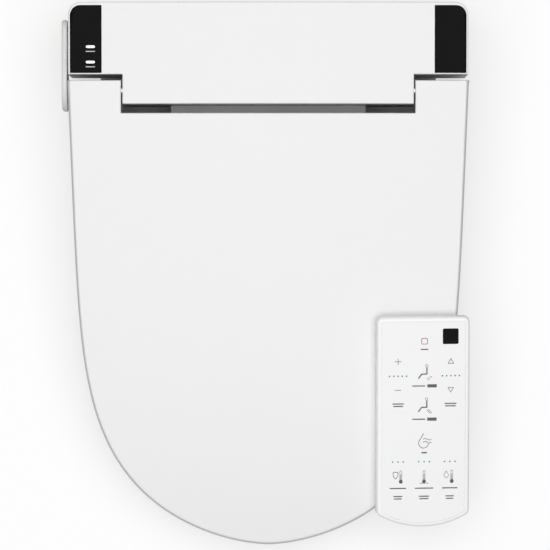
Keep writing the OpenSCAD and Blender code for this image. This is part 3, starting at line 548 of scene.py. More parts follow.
def cell_sleeve(name):
    """Printed sleeve of a dry cell: two bands and a bare metal end."""
    s = Shader(name)
    along = (s.y + REMOTE_LENGTH) / CELL_LENGTH
    low = along.sum("FRACT", along) < 0.4
    s.feed("Base Color", s.blend(low, (0.05, 0.09, 0.2), (0.55, 0.42, 0.16)))
    s.feed("Metallic", low * 0.6)
    s.feed("Roughness", 0.3 + s.noise(2, 2) * 0.12)
    s.relief(s.noise(0.6, 2), 0.01)


def lit_lens(name):
    """A frosted lamp window, faintly lit."""
    s = Shader(name, Emission_Strength=0.25)
    glow = s.noise(1.6, 2)
    s.feed("Base Color", s.blend(glow, (0.84, 0.84, 0.83), (0.92, 0.92, 0.92)))
    s.feed("Emission Color", s.blend(glow, (0.8, 0.8, 0.8), (1.0, 1.0, 1.0)))
    s.feed("Roughness", 0.28 + glow * 0.1)
    s.relief(s.cells(0.9), 0.02)


def flaked_mica(name):
    """Pressed mica sheet with pale flakes."""
    s = Shader(name)
    flakes = s.cells(2.2, "F1", "Color")
    grey = s.node("ShaderNodeSeparateColor", {}, [flakes], 0)
    s.feed("Base Color", s.blend(grey, (0.42, 0.33, 0.2), (0.66, 0.58, 0.42)))
    s.feed("Roughness", 0.35 + grey * 0.3)
    s.relief(grey, 0.04)


def glossy_black(name):
    """Polished black plastic under a clear coat."""
    s = Shader(name, Specular_IOR_Level=0.03)
    s.feed("Base Color", s.blend(s.noise(40, 2), (0.0015, 0.0015, 0.0016), (0.004, 0.004, 0.0042)))
    s.feed("Roughness", 0.1 + s.noise(6, 3) * 0.05)
    s.relief(s.noise(12, 2), 0.012)


def printed(name, color):
    """Screen-printed ink, slightly uneven."""
    s = Shader(name)
    s.feed("Base Color", s.blend(s.noise(1.2, 3), shade(color, 0.94), shade(color, 1.04)))
    s.feed("Roughness", 0.5 + s.noise(0.8, 2) * 0.12)
    s.relief(s.noise(0.4, 2), 0.004)


def make_finishes(colors):
    """One material for each slot of the record, and the inks of the legends."""
    moulded("white_gloss", tuple(colors.shell), 0.24, 0.006, 1.6, 0.006, Specular_IOR_Level=0.4)
    moulded("remote_white", tuple(colors.remote), 0.34, 0.01, 0.8, 0.006)
    moulded("film", tuple(colors.film), 0.4, 0.014, 0.5, 0.005)
    moulded("plate_grey", (0.34, 0.35, 0.37), 0.5, 0.03, 0.8)
    moulded("inner_plastic", (0.56, 0.57, 0.58), 0.45, 0.025, 0.7)
    moulded("rubber", (0.035, 0.036, 0.04), 0.78, 0.05, 0.6, 0.08)
    moulded("damper_black", (0.02, 0.02, 0.022), 0.4, 0.02, 0.6, 0.08)
    moulded("tip_grey", (0.3, 0.32, 0.35), 0.3, 0.012, 0.8)
    moulded("tube", (0.6, 0.66, 0.7), 0.22, 0.01, 1.2, 0.03, Coat_Weight=0.3)
    turned_metal("steel", (0.62, 0.62, 0.63), 0.26)
    turned_metal("brass", (0.72, 0.52, 0.26), 0.24)
    glossy_black("black_gloss")
    lit_lens("led_lens")
    flaked_mica("mica")
    carbon_block("carbon")
    circuit_board("board_green")
    heating_foil("heater_foil")
    cell_sleeve("battery_skin")
    printed("ink_grey", tuple(colors.ink))
    printed("ink_blue", tuple(colors.ink_blue))
    printed("ink_red", tuple(colors.ink_red))
    printed("ink_pale", (0.5, 0.5, 0.5))


# ---- sizes and colours that a user would change ----


class BidetSizes(bpy.types.PropertyGroup):
    """Sizes of the pieces that are modelled here."""

    lid_edge: FloatProperty(
        name="Lid edge", description="Height of the lid's rolled edge, in millimetres",
        default=6.0, min=2, max=9)
    cover_edge: FloatProperty(
        name="Cover edge", description="Radius of the main unit's top edge, in millimetres",
        default=1.5, min=1, max=6)
    remote_edge: FloatProperty(
        name="Remote edge", description="Radius of the remote's rim, in millimetres",
        default=3.4, min=1, max=5)
    ink_height: FloatProperty(
        name="Ink height", description="Thickness of the printed legends, in millimetres",
        default=0.06, min=0.02, max=0.2)


class BidetColors(bpy.types.PropertyGroup):
    """Colours of the shells and the legends."""

    shell: FloatVectorProperty(
        name="Shell", description="White of the lid, seat and main unit", subtype="COLOR",
        default=(0.77, 0.77, 0.77))
    remote: FloatVectorProperty(
        name="Remote", description="White of the remote's case", subtype="COLOR",
        default=(0.88, 0.88, 0.88))
    film: FloatVectorProperty(
        name="Film", description="White of the remote's key film", subtype="COLOR",
        default=(0.82, 0.82, 0.82))
    ink: FloatVectorProperty(
        name="Ink", description="Grey of the printed legends", subtype="COLOR",
        default=(0.075, 0.075, 0.075))
    ink_blue: FloatVectorProperty(
        name="Level lamps", description="Blue of the level lamps", subtype="COLOR",
        default=(0.03, 0.16, 0.28))
    ink_red: FloatVectorProperty(
        name="Stop mark", description="Red of the stop mark", subtype="COLOR",
        default=(0.28, 0.05, 0.07))


# ---- shapes ----


def side_width(y, inset, pull):
    """Half-width of the lid's outline at y, drawn in by inset at the sides and by pull times that at the rear."""
    start = LID_START - pull * inset
    share = max(0.0, min(1.0, (start - y) / (LID_LENGTH - (1 + pull) * inset)))
    lift = math.sqrt(max(0.0, 1 - share ** SIDE_POWER))
    return (LID_HALF - inset) * (1 - SIDE_TAPER * share) * lift ** (2 / TIP_POWER)


def side_at(angle, inset, pull):
    """A point of the right side of the outline, at an angle of its sweep from the rear (0) to the tip (90)."""
    share = math.sin(math.radians(angle)) ** (2 / SIDE_POWER)
    y = LID_START - pull * inset - (LID_LENGTH - (1 + pull) * inset) * share
    x = (LID_HALF - inset) * (1 - SIDE_TAPER * share) * max(0.0, math.cos(math.radians(angle))) ** (2 / TIP_POWER)
    return x, y


EAR_COLUMNS = 10
CORE_COLUMNS = 44
EAR_ROWS = 8
SIDE_ROWS = 64
TIP_ANGLE = 40.0
LID_ACROSS = 2 * EAR_COLUMNS + CORE_COLUMNS
LID_ALONG = EAR_ROWS + SIDE_ROWS


def lid_column(i, half, notch):
    """Place across the lid of a column: -1 to 1 of its half-width, with two columns on the notch's sides."""
    if i < EAR_COLUMNS:
        return -half + (half - notch) * i / EAR_COLUMNS
    if i <= EAR_COLUMNS + CORE_COLUMNS:
        return -notch + 2 * notch * (i - EAR_COLUMNS) / CORE_COLUMNS
    return notch + (half - notch) * (i - EAR_COLUMNS - CORE_COLUMNS) / EAR_COLUMNS


def lid_spot(i, j, inset):
    """Place of a grid point of the lid's top, drawn in from its border by inset."""
    # The sides lean, while the rear and the notch drop straight from their rolled edge
    upright = max(0.0, inset - LID_LEAN)
    rear = EAR_REAR - LID_PULL * upright
    notch_y = NOTCH_Y - upright
    notch_half = NOTCH_HALF + upright
    if j <= EAR_ROWS:
        y = rear + (notch_y - rear) * j / EAR_ROWS
        return lid_column(i, side_width(y, inset, LID_PULL), notch_half), y
    v = (j - EAR_ROWS) / SIDE_ROWS
    corner_x, corner_y = side_at(TIP_ANGLE, inset, LID_PULL)
    y = notch_y + (corner_y - notch_y) * v
    half = side_width(y, inset, LID_PULL)
    x = lid_column(i, half, half * notch_half / side_width(notch_y, inset, LID_PULL))
    u = x / half
    front_x, front_y = side_at(90 - abs(u) * (90 - TIP_ANGLE), inset, LID_PULL)
    bend = v ** 3
    return x + bend * (math.copysign(front_x, u) - u * corner_x), y + bend * (front_y - corner_y)


def seat_outline(inset, count=88):
    """The seat's outline, drawn in by inset from the lid's, rear edge first."""
    half = side_width(SEAT_BACK, inset, 1)
    rear = [(-half * (1 - k / 14), SEAT_BACK) for k in range(28)]
    side = [side_at(89.7 * (k / count) ** 1.35, inset, 1) for k in range(1, count + 1)]
    return rear + [(half, SEAT_BACK)] + side + [(-x, y) for x, y in reversed(side)]


def across_ring(point, share):
    """The point at a share of the way from an outline point to the edge of the seat's hole."""
    x, y = point
    angle = math.atan2(x, y - HOLE_Y)
    s, c = math.sin(angle), math.cos(angle)
    reach = HOLE_HALF * HOLE_LENGTH / math.hypot(HOLE_LENGTH * s, HOLE_HALF * c)
    hole = (reach * s, HOLE_Y + reach * c)
    return x + (hole[0] - x) * share, y + (hole[1] - y) * share


# The seat's section from its outer edge (0) to its hole (1): share, drop below its top plane
SEAT_SECTION = (
    (0, 12), (0.004, 9.2), (0.012, 6.9), (0.024, 5.0), (0.042, 3.3), (0.066, 2.0), (0.1, 1.1),
    (0.145, 0.45), (0.2, 0.12), (0.28, 0), (0.38, 0.02), (0.5, 0.4), (0.6, 0.95), (0.7, 1.8),
    (0.78, 2.9), (0.85, 4.4), (0.9, 6.0), (0.945, 8.4), (0.975, 11), (0.992, 13.6), (1, 16))


def cover_half(y, inset):
    """Half-width of the main unit at y, with its rounded rear corners."""
    r = BODY_CORNER - inset
    centre = BODY_BACK - BODY_CORNER
    if y <= centre:
        return BODY_HALF - inset
    return BODY_HALF - BODY_CORNER + math.sqrt(max(0.0, r * r - (y - centre) ** 2))


COVER_EDGE_COLUMNS = 10
COVER_CORE_COLUMNS = 48
COVER_STEP_ROWS = 6
COVER_MID_ROWS = 12
COVER_CORNER_ROWS = 10


def cover_spot(i, j, inset):
    """Place of a grid point of the main unit's top, drawn in from its border by inset."""
    front = -CORE_FRONT + inset
    step = -SIDE_FRONT + inset
    centre = BODY_BACK - BODY_CORNER
    if j <= COVER_STEP_ROWS:
        y = front + (step - front) * j / COVER_STEP_ROWS
    elif j <= COVER_STEP_ROWS + COVER_MID_ROWS:
        y = step + (centre - step) * (j - COVER_STEP_ROWS) / COVER_MID_ROWS
    else:
        turn = (j - COVER_STEP_ROWS - COVER_MID_ROWS) / COVER_CORNER_ROWS
        y = centre + (BODY_CORNER - inset) * math.sin(math.pi / 2 * turn)
    half = cover_half(y, inset)
    core = CORE_HALF - inset
    if i < COVER_EDGE_COLUMNS:
        return -half + (half - core) * i / COVER_EDGE_COLUMNS, y
    if i <= COVER_EDGE_COLUMNS + COVER_CORE_COLUMNS:
        return -core + 2 * core * (i - COVER_EDGE_COLUMNS) / COVER_CORE_COLUMNS, y
    return core + (half - core) * (i - COVER_EDGE_COLUMNS - COVER_CORE_COLUMNS) / COVER_EDGE_COLUMNS, y


# ---- remote control ----


def remote_frame():
    """The remote's own frame, resting on the lid."""
    x, y = REMOTE_AT
    tilt_x = math.atan(LID_SLOPE - (y + 50) / ARCH_R)
    tilt_y = math.atan(x / CROWN_R)
    at = Matrix.Translation([x * MM, y * MM, (lid_z(x, y) + REMOTE_REST) * MM])
    return at @ Matrix.Rotation(tilt_x, 4, "X") @ Matrix.Rotation(tilt_y, 4, "Y")


def remote_outline(inset):
    """Plan of the remote: straight sides, small upper corners, an arched lower end."""
    r = (REMOTE_HALF ** 2 + REMOTE_ARCH ** 2) / (2 * REMOTE_ARCH)
    centre = -REMOTE_LENGTH / 2 + r
    half = REMOTE_HALF - inset
    top = REMOTE_LENGTH / 2 - inset
    corner = max(0.6, 7.0 - inset)
    r_arch = r - inset
    # Centre of the small circle inside both the side and the arch
    side_x = half - corner
    side_y = centre - math.sqrt((r_arch - corner) ** 2 - side_x ** 2)
    lean = math.atan2(side_x, centre - side_y)
    points = []
    top_corner = max(0.6, 6.0 - inset)
    for k in range(9):
        a = math.pi / 2 * (1 - k / 8)
        points.append((half - top_corner + top_corner * math.cos(a), top - top_corner + top_corner * math.sin(a)))
    points += [(half, top - top_corner - (top - top_corner - side_y) * k / 12) for k in range(1, 12)]
    for k in range(9):
        a = -(math.pi / 2 - lean) * k / 8
        points.append((side_x + corner * math.cos(a), side_y + corner * math.sin(a)))
    for k in range(1, 20):
        a = lean * (1 - k / 20)
        points.append((r_arch * math.sin(a), centre - r_arch * math.cos(a)))
    left = [(-x, y) for x, y in reversed(points)]
    return points + [(0.0, centre - r_arch)] + left


def flat_loop(points, z):
    """A plan's points at one height."""
    return [(x, y, z) for x, y in points]


def mark(points, z, height, at):
    """A printed shape of a plan, standing a height over the film."""
    return draw_out("mark", [flat_loop(points, z - 0.03), flat_loop(points, z + height)], at=at)


def dot(x, y, r, count=20):
    """Plan of a round dot."""
    turns = [2 * math.pi * k / count for k in range(count)]
    return [(x + r * math.cos(a), y + r * math.sin(a)) for a in turns]


def stroke(a, b, width, count=6):
    """Plan of a stroke with round ends."""
    angle = math.atan2(b[1] - a[1], b[0] - a[0])
    r = width / 2
    points = []
    for end, first in ((b, angle - math.pi / 2), (a, angle + math.pi / 2)):
        turns = [first + math.pi * k / count for k in range(count + 1)]
        points += [(end[0] + r * math.cos(a), end[1] + r * math.sin(a)) for a in turns]
    return points


def line(points, width=0.55):
    """Strokes along a line of points."""
    return [stroke(a, b, width) for a, b in zip(points, points[1:])]


def loop_line(points, width=0.55):
    """Strokes round a closed line of points."""
    return line([*points, points[0]], width)


def panel_box(x, y, w, h, r=0.4):
    """Plan of a box with rounded corners about its middle."""
    corners = [(x - w / 2, y - h / 2), (x + w / 2, y - h / 2), (x + w / 2, y + h / 2), (x - w / 2, y + h / 2)]
    return rounded(corners, [r] * 4, 4)


def caption(x, y, width, rows=1, height=1.15, gap=2.4):
    """Plain bars where a caption stands."""
    return [panel_box(x, y - k * gap, width * (1 - 0.12 * k), height, 0.3) for k in range(rows)]


def thermometer(x, y):
    """A thermometer: a tube over a bulb."""
    tube = [(x - 1, y - 3.2), (x - 1, y + 5.2), (x, y + 6), (x + 1, y + 5.2), (x + 1, y - 3.2)]
    return loop_line(tube, 0.4) + [dot(x, y - 5, 1.9), stroke((x, y - 4), (x, y + 2.4), 0.6)]


def seated(x, y):
    """A plain seated figure: a round head, a back and a leg."""
    body = [(x + 2.4, y + 4.4), (x + 2.4, y - 1.6), (x - 2.6, y - 1.8), (x - 5.6, y - 5.8)]
    return loop_line(dot(x + 2.2, y + 6.4, 1.25, 12), 0.4) + line(body, 1.2)


def droplet(x, y, size):
    """Outline points of a drop."""
    r = size * 0.5
    turns = [math.radians(a) for a in range(150, 391, 20)]
    arc = [(x + r * math.cos(a), y - size * 0.2 + r * math.sin(a)) for a in turns]
    return [(x, y + size * 0.78), *arc]


def wave(x, y, length, rise=0.8, count=12):
    """Points of a wave to the right of x."""
    return [(x + length * k / count, y + rise * math.sin(2 * math.pi * k / count)) for k in range(count + 1)]


# Columns of the legends across the remote
LEFT, MIDDLE, RIGHT = -24.6, 1.0, 26.0


def grey_legends():
    """Every mark of the remote that is printed in grey."""
    arrow = RIGHT + 0.6
    shapes = line([(LEFT - 3, 60.1), (LEFT + 3, 60.1)]) + line([(LEFT, 57.1), (LEFT, 63.1)])
    shapes += line([(LEFT - 3, 32), (LEFT + 3, 32)])
    for foot, tip in ((57.9, 62.6), (34.2, 29.5)):
        shapes += loop_line([(arrow - 2.7, foot), (arrow + 2.7, foot), (arrow, tip)])
    shapes += caption(MIDDLE, 72, 7.4)
    for y in (49.4, 16.6):
        shapes += seated(MIDDLE, y)
        shapes += caption(MIDDLE - 5.4, y - 13.4, 12.6)
        shapes += [panel_box(MIDDLE + 7.4, y - 13.4, 9.2, 3.2, 0.4)]
    for k in range(3):
        jet = [(MIDDLE + 2.6 + 1.6 * k, 43.6 + 0.9 * k), (MIDDLE + 4.4 + 1.4 * k, 41.6 + 1.6 * k)]
        shapes += line(jet, 0.5)
    shapes += line([(MIDDLE + 2.6, 12.4), (MIDDLE + 5.8, 8.6)], 0.5)
    shapes += line([(MIDDLE + 4, 13), (MIDDLE + 7, 9.6)], 0.5)
    shapes += caption(LEFT + 0.2, 18.5, 11, 2) + caption(RIGHT + 0.4, 18.5, 11.6, 2)
    drop = droplet(MIDDLE - 0.6, -18.6, 9.6)
    shapes += line(drop[1:12], 0.6) + line([drop[1], drop[0]], 0.6)
    for y in (-16.6, -19.6):
        shapes += line(wave(MIDDLE - 0.8, y, 7.6), 0.6)
    shapes += caption(MIDDLE, -29.9, 5.4, 1, 1.4)
    for x in (LEFT + 3, MIDDLE, RIGHT + 2):
        shapes += thermometer(x, -53.4)
    seat = [(LEFT - 4.4, -49), (LEFT + 0.2, -49), (LEFT + 0.2, -53), (LEFT - 2.1, -55.6), (LEFT - 4.4, -53)]
    shapes += loop_line(seat, 0.6)
    shapes += loop_line(droplet(RIGHT - 3.4, -51.6, 4.4), 0.45)
    for k in range(3):
        shapes += [stroke((MIDDLE - 3.6 + 3 * k, -60.2), (MIDDLE - 2 + 3 * k, -60.2), 0.7)]
    for x, width in ((LEFT + 0.2, 16), (MIDDLE, 18), (RIGHT, 15)):
        shapes += caption(x, -65, width)
        shapes += caption(x, -73, width * 0.55, 2)
    return shapes


def blue_lamps():
    """The level lamps of the remote."""
    upper = [dot(x + 4.14 * k, 45.8, 0.8) for x in (LEFT - 8.3, RIGHT - 7.6) for k in range(5)]
    lower = [dot(x + 5.2 * k, -38.8, 0.75) for x in (LEFT - 5, MIDDLE - 5.2, RIGHT - 5.2) for k in range(3)]
    return upper + lower


# ---- operators ----


class Piece:
    """What the operators share."""

    bl_options = {"REGISTER", "UNDO"}

    def execute(self, context):
        self.make(context.scene.bidet_sizes)
        pick_nothing()
        return {"FINISHED"}


class BIDET_OT_finishes(Piece, bpy.types.Operator):
    """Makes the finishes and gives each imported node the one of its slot"""

    bl_idname = "bidet.finishes"
    bl_label = "Finishes"

    def make(self, sizes):
        make_finishes(bpy.context.scene.bidet_colors)
        for part in frame["record"]["subparts"]:
            node = frame["nodes"][part["node"]]
            node.data.materials.clear()
            node.data.materials.append(FINISHES[part["material_slot"]])
            pick(node)
            bpy.ops.object.shade_smooth_by_angle(angle=SMOOTH_CAD)


class BIDET_OT_lid(Piece, bpy.types.Operator):
    """Models the lid's arched shell, with its notch round the main unit"""

    bl_idname = "bidet.lid"
    bl_label = "Lid"

    def make(self, sizes):
        shell = crowned_shell(
            "lid_top", LID_ACROSS, LID_ALONG, lid_spot,
            lambda i, j: j < EAR_ROWS and EAR_COLUMNS <= i < EAR_COLUMNS + CORE_COLUMNS,
            lid_z, self.edge(sizes.lid_edge), self.foot, WALL)
        settle(shell, "lid", "white_gloss", "lid_shell")

    @staticmethod
    def edge(depth):
        """A tight rolled edge, then a side that leans out a little as it goes down."""
        tight = [(inset + LID_LEAN, drop) for inset, drop in roll(1.5, 1.5, 2.0, 6)]
        return [(7.0, 0.0), (4.8, 0.0), *tight, (1.3, 0.45 * depth), (0.7, depth), (0.25, 1.8 * depth)]

    @staticmethod
    def foot(x, y):
        """The shell's lower edge: on the rim plane, and higher along the notch and the rear of the ears."""
        if y > EAR_REAR - 3.2:
            return EAR_FOOT
        at_notch = abs(x) < NOTCH_HALF + 4 and y > NOTCH_Y - 6
        return NOTCH_FOOT if at_notch else rim_z(y)


class BIDET_OT_seat(Piece, bpy.types.Operator):
    """Models the seat's ring with its legs back to the hinge"""

    bl_idname = "bidet.seat"
    bl_label = "Seat ring"

    def make(self, sizes):
        outline = seat_outline(SEAT_INSET)

        def loop(share, drop=None):
            points = [across_ring(p, share) for p in outline]
            return [(x, y, SEAT_LOW if drop is None else seat_z(y) - drop) for x, y in points]

        def inner(share, drop):
            return loop(min(1 - SEAT_WALL, max(SEAT_WALL, share)), drop + 2.5 + (0.6 if drop > 1 else 0))

        loops = [loop(0)] + [loop(s, d) for s, d in SEAT_SECTION] + [loop(1), loop(1 - SEAT_WALL)]
        loops += [inner(s, d) for s, d in reversed(SEAT_SECTION[::2])] + [loop(SEAT_WALL)]
        ring = draw_out("seat_ring", loops, ring=True)
        cuts = [block("room", (-half, front, -1), (half, 90, top)) for half, front, top in SEAT_CUTS]
        cut_away(ring, *cuts)
        settle(ring, "seat", "white_gloss", "seat_top")


class BIDET_OT_cover(Piece, bpy.types.Operator):
    """Models the main unit's top cover, its beds for the gloss panels, and the panels with their lamps"""

    bl_idname = "bidet.cover"
    bl_label = "Top cover and gloss panels"

    def make(self, sizes):
        core = range(COVER_EDGE_COLUMNS, COVER_EDGE_COLUMNS + COVER_CORE_COLUMNS)
        shell = crowned_shell(
            "unit_cover", 2 * COVER_EDGE_COLUMNS + COVER_CORE_COLUMNS,
            COVER_STEP_ROWS + COVER_MID_ROWS + COVER_CORNER_ROWS,
            cover_spot, lambda i, j: j < COVER_STEP_ROWS and i not in core,
            cover_z, roll(sizes.cover_edge, sizes.cover_edge), lambda x, y: SPLIT_Z, WALL)
        for side in (-1, 1):
            cut_away(shell, self.slab("bed", side, 0, -1.2, 6))
        settle(shell, "main_unit", "white_gloss", "top_cover")
        for side, name, node in ((-1, "left_gloss", "left_panel"), (1, "right_gloss", "right_panel")):
            panel = self.slab(name, side, 0.12, -1.15, -0.02)
            if side < 0:
                cut_away(panel, *[self.lens("window", y, 0.05, -3, 3) for y in LENS_Y])
            settle(panel, "main_unit", "black_gloss", node)
        lenses = joined("lamp_lenses", [self.lens("lens", y, -0.03, -1.1, 0.0) for y in LENS_Y])
        settle(lenses, "main_unit", "led_lens", "indicator_lenses")
        self.legends(sizes.ink_height)

    @staticmethod
    def slab(name, side, inset, low, high):
        """A slab of a gloss panel's plan, between two heights from the crowned top."""
        x1 = BODY_HALF - GLOSS_EDGE - inset
        x0 = x1 - GLOSS_WIDTH + 2 * inset
        y0, y1 = GLOSS_FRONT + inset, GLOSS_BACK - inset
        plan = rounded([(x0, y0), (x1, y0), (x1, y1), (x0, y1)], [0.8, 0.8, 10 - inset, 0.8], 12)
        if side < 0:
            plan = [(-x, y) for x, y in plan]
        edge = 0.35 if high <= 0 else 0.0
        loops = [[(x, y, cover_z(x, y) + z) for x, y in plan] for z in (low, high - edge)]
        if edge:
            mid_x, mid_y = side * (x0 + x1) / 2, (y0 + y1) / 2
            for draw, drop in ((0.12, 0.1), (0.35, 0.0)):
                loops.append([(x + math.copysign(draw, mid_x - x), y + math.copysign(draw, mid_y - y),
                               cover_z(x, y) + high - drop) for x, y in plan])
        return draw_out(name, loops)

    @staticmethod
    def lens(name, y, grow, low, high):
        """A long rounded window of an indicator lamp."""
        w, h = [size + 2 * grow for size in LENS_SIZE]
        plan = panel_box(LENS_X, y, w, h, h / 2 - 0.02)
        return draw_out(name, [[(a, b, cover_z(a, b) + z) for a, b in plan] for z in (low, high)])

    @staticmethod
    def legends(height):
        """Plain bars below the lamps."""
        shapes = [plan for y in LENS_Y for plan in caption(LENS_X, y - 4.5, 9, 1, 0.9)]
        marks = [draw_out("mark", [[(x, y, cover_z(x, y) - 0.06 + z) for x, y in plan] for z in (0, height)])
                 for plan in shapes]
        settle(joined("panel_legends", marks), "main_unit", "ink_pale")


class BIDET_OT_side_panel(Piece, bpy.types.Operator):
    """Models the control panel on the main unit's side, with its three keys"""

    bl_idname = "bidet.side_panel"
    bl_label = "Side panel"

    def make(self, sizes):
        low_y, high_y, low_z, high_z = SIDE_PLAN

        def face(inset):
            y0, y1, z0, z1 = low_y + inset, high_y - inset, low_z + inset, high_z - inset
            r = max(0.5, 9 - inset)
            return rounded([(y0, z0), (y1, z0), (y1, z1), (y0, z1)], [r, r, r, max(0.5, 26 - inset)], 12)

        sections = [(3.0, SIDE_IN), (1.0, SIDE_IN), (0.3, SIDE_IN - 0.4), (0, SIDE_IN - 1.2), (0, SIDE_OUT + 2.2),
                    (0.3, SIDE_OUT + 1.2), (0.9, SIDE_OUT + 0.45), (1.9, SIDE_OUT + 0.08), (3.0, SIDE_OUT)]
        body = draw_out("side_control", [[(x, y, z) for y, z in face(inset)] for inset, x in sections])
        arm = block("arm", (SIDE_IN - 0.5, -6, 68), (-BODY_HALF, 30, 92))
        wells = [draw_out("well", [self.ring(x, y, WELL_R) for x in (SIDE_OUT - 1, SIDE_OUT + 3.2)])
                 for y in KEY_Y.values()]
        cut_away(body, *wells)
        settle(joined("side_control", [body, arm]), "main_unit", "white_gloss", "side_panel")
        for name, y in KEY_Y.items():
            self.key(name, y)

    @staticmethod
    def ring(x, y, r):
        """A round loop that faces sideways."""
        turns = [2 * math.pi * k / 64 for k in range(64)]
        return [(x, y + r * math.cos(a), KEY_Z + r * math.sin(a)) for a in turns]

    @classmethod
    def key(cls, name, y):
        """A dished round key."""
        rim = [(KEY_R, 1.6), (KEY_R, 0.7), (KEY_R - 0.15, 0.35), (KEY_R - 0.5, 0.14)]
        dish = [(6.5, 0.1), (5.0, 0.3), (2.5, 0.45), (0.4, 0.5)]
        loops = [cls.ring(SIDE_OUT + depth, y, r) for r, depth in rim + dish]
        settle(draw_out(name + "_cap", loops), name, "plate_grey", name)


class BIDET_OT_remote(Piece, bpy.types.Operator):
    """Models the remote control: case, key film, window and printed legends"""

    bl_idname = "bidet.remote"
    bl_label = "Remote control"

    def make(self, sizes):
        at = remote_frame()
        edge = roll(sizes.remote_edge, sizes.remote_edge, 2.0, 7)
        loops = [flat_loop(remote_outline(0), REMOTE_SPLIT + 0.15)]
        loops += [flat_loop(remote_outline(inset), REMOTE_T - drop) for inset, drop in reversed(edge)]
        loops += [flat_loop(remote_outline(FILM_IN), REMOTE_T)]
        loops += [flat_loop(remote_outline(FILM_IN + 0.02), REMOTE_T - FILM_T)]
        settle(draw_out("remote_case", loops, at=at), "remote", "remote_white", "remote_front")
        film = [flat_loop(remote_outline(FILM_IN + inset), REMOTE_T - drop)
                for inset, drop in ((0.1, FILM_T), (0.1, 0.25), (0.35, 0.02), (0.8, 0))]
        settle(draw_out("remote_keys", film, at=at), "remote", "film", "remote_film")
        window = panel_box(*WINDOW_AT, WINDOW_SIZE, WINDOW_SIZE, 1.2)
        stop = panel_box(MIDDLE, 80, 5.6, 5.6, 1.0)
        for name, shapes, slot in (("remote_legends", grey_legends(), "ink_grey"),
                                   ("remote_lamps", blue_lamps(), "ink_blue"),
                                   ("remote_window", [window], "black_gloss"),
                                   ("remote_stop", loop_line(stop, 0.6), "ink_red")):
            marks = [mark(plan, REMOTE_T, sizes.ink_height, at) for plan in shapes]
            settle(joined(name, marks), "remote", slot)


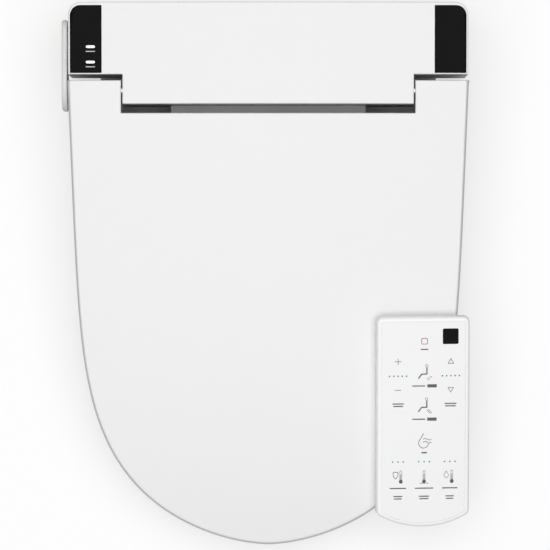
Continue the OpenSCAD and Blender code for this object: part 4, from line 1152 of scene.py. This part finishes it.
class BIDET_OT_stage(Piece, bpy.types.Operator):
    """Sets the floor, the lamps and the camera"""

    bl_idname = "bidet.stage"
    bl_label = "Stage"

    def make(self, sizes):
        bpy.ops.mesh.primitive_plane_add(size=60, location=(0, 0, 0))
        floor = take_primitive("floor")
        floor.data.materials.append(self.paper())
        self.sky()
        self.lamp("overhead", (0.0, -0.1, 5.0), 5.0, 208.0)
        self.lamp("front", (-0.8, -3.0, 2.4), 1.6, 8.0)
        self.camera()
        bpy.context.scene.view_settings.view_transform = "Standard"

    @staticmethod
    def paper():
        """White paper that the camera sees brighter than it lights the object, with the object's shadow kept."""
        sheet = Shader("paper", Specular_IOR_Level=0.1)
        seen = sheet.node("ShaderNodeLightPath", {}, [], "Is Camera Ray")
        sheet.feed("Base Color", sheet.blend(seen, (0.45, 0.45, 0.45), (0.98, 0.98, 0.98)))
        sheet.feed("Roughness", 0.9 + sheet.noise(30, 2) * 0.05)
        glow = sheet.node("ShaderNodeEmission", {}, {"Color": (0.985, 0.985, 0.985, 1), "Strength": 1.0})
        # The glow stops under the object, where it would shine through the gaps
        under = (abs(sheet.x) < 165) * (sheet.y > -290) * (sheet.y < 44)
        share = seen * 0.6 * (1 - under)
        both = sheet.node("ShaderNodeMixShader", {}, {0: share, 1: sheet.shown, 2: glow})
        sheet.link(both, sheet.out.inputs["Surface"])
        return sheet.material

    @staticmethod
    def sky():
        """A soft white surround: full white where it is seen, dimmer where it lights."""
        world = bpy.data.worlds.new("surround")
        world.use_nodes = True
        bpy.context.scene.world = world
        sky = Nodes(world.node_tree)
        rays = sky.node("ShaderNodeLightPath", {}, [], None)
        camera, glossy, through = [Value(sky, rays.outputs[f"Is {kind} Ray"])
                                   for kind in ("Camera", "Glossy", "Transmission")]
        seen = camera.sum("MAXIMUM", camera.sum("MAXIMUM", camera, glossy), through)
        strength = sky.node("ShaderNodeMapRange", {}, {"Value": seen, "To Min": 0.34, "To Max": 1.0})
        background = world.node_tree.nodes["Background"]
        background.inputs["Color"].default_value = (1, 1, 1, 1)
        sky.link(strength, background.inputs["Strength"])

    @staticmethod
    def lamp(name, place, size, power):
        """A square soft lamp, aimed at the object's middle."""
        bpy.ops.object.light_add(type="AREA", location=place)
        lamp = bpy.context.object
        lamp.name = name
        lamp.data.size = size
        lamp.data.energy = power
        aim = Vector((0, -0.2, 0.1)) - lamp.location
        lamp.rotation_euler = aim.to_track_quat("-Z", "Y").to_euler()

    @staticmethod
    def camera():
        """A long lens straight above, as wide as the object is long."""
        height, width = 6.0, 0.531
        bpy.ops.object.camera_add(location=(0.0066, -0.2062, height), rotation=(0, 0, 0))
        camera = bpy.context.object
        camera.data.sensor_width = 36
        camera.data.lens = 36 * (height - 0.12) / width
        camera.data.clip_end = 60
        bpy.context.scene.camera = camera


OPERATORS = (
    BIDET_OT_finishes, BIDET_OT_lid, BIDET_OT_seat, BIDET_OT_cover, BIDET_OT_side_panel, BIDET_OT_remote,
    BIDET_OT_stage)


class BIDET_PT_panel(bpy.types.Panel):
    """Lists the pieces in the order that they are made"""

    bl_idname = "BIDET_PT_panel"
    bl_label = "Bidet seat"
    bl_space_type = "VIEW_3D"
    bl_region_type = "UI"
    bl_category = "Bidet"

    def draw(self, context):
        for group in (context.scene.bidet_sizes, context.scene.bidet_colors):
            for name in group.__annotations__:
                self.layout.prop(group, name)
        for operator in OPERATORS:
            self.layout.operator(operator.bl_idname)


CLASSES = (BidetSizes, BidetColors, *OPERATORS, BIDET_PT_panel)


def register():
    """Registers the classes and their properties."""
    for c in CLASSES:
        bpy.utils.register_class(c)
    bpy.types.Scene.bidet_sizes = PointerProperty(type=BidetSizes)
    bpy.types.Scene.bidet_colors = PointerProperty(type=BidetColors)


def unregister():
    """Takes the classes and their properties away."""
    del bpy.types.Scene.bidet_colors
    del bpy.types.Scene.bidet_sizes
    for c in reversed(CLASSES):
        bpy.utils.unregister_class(c)


def main():
    """Makes every piece in order."""
    register()
    for operator in OPERATORS:
        group, name = operator.bl_idname.split(".")
        getattr(getattr(bpy.ops, group), name)()


if __name__ == "__main__":
    main()
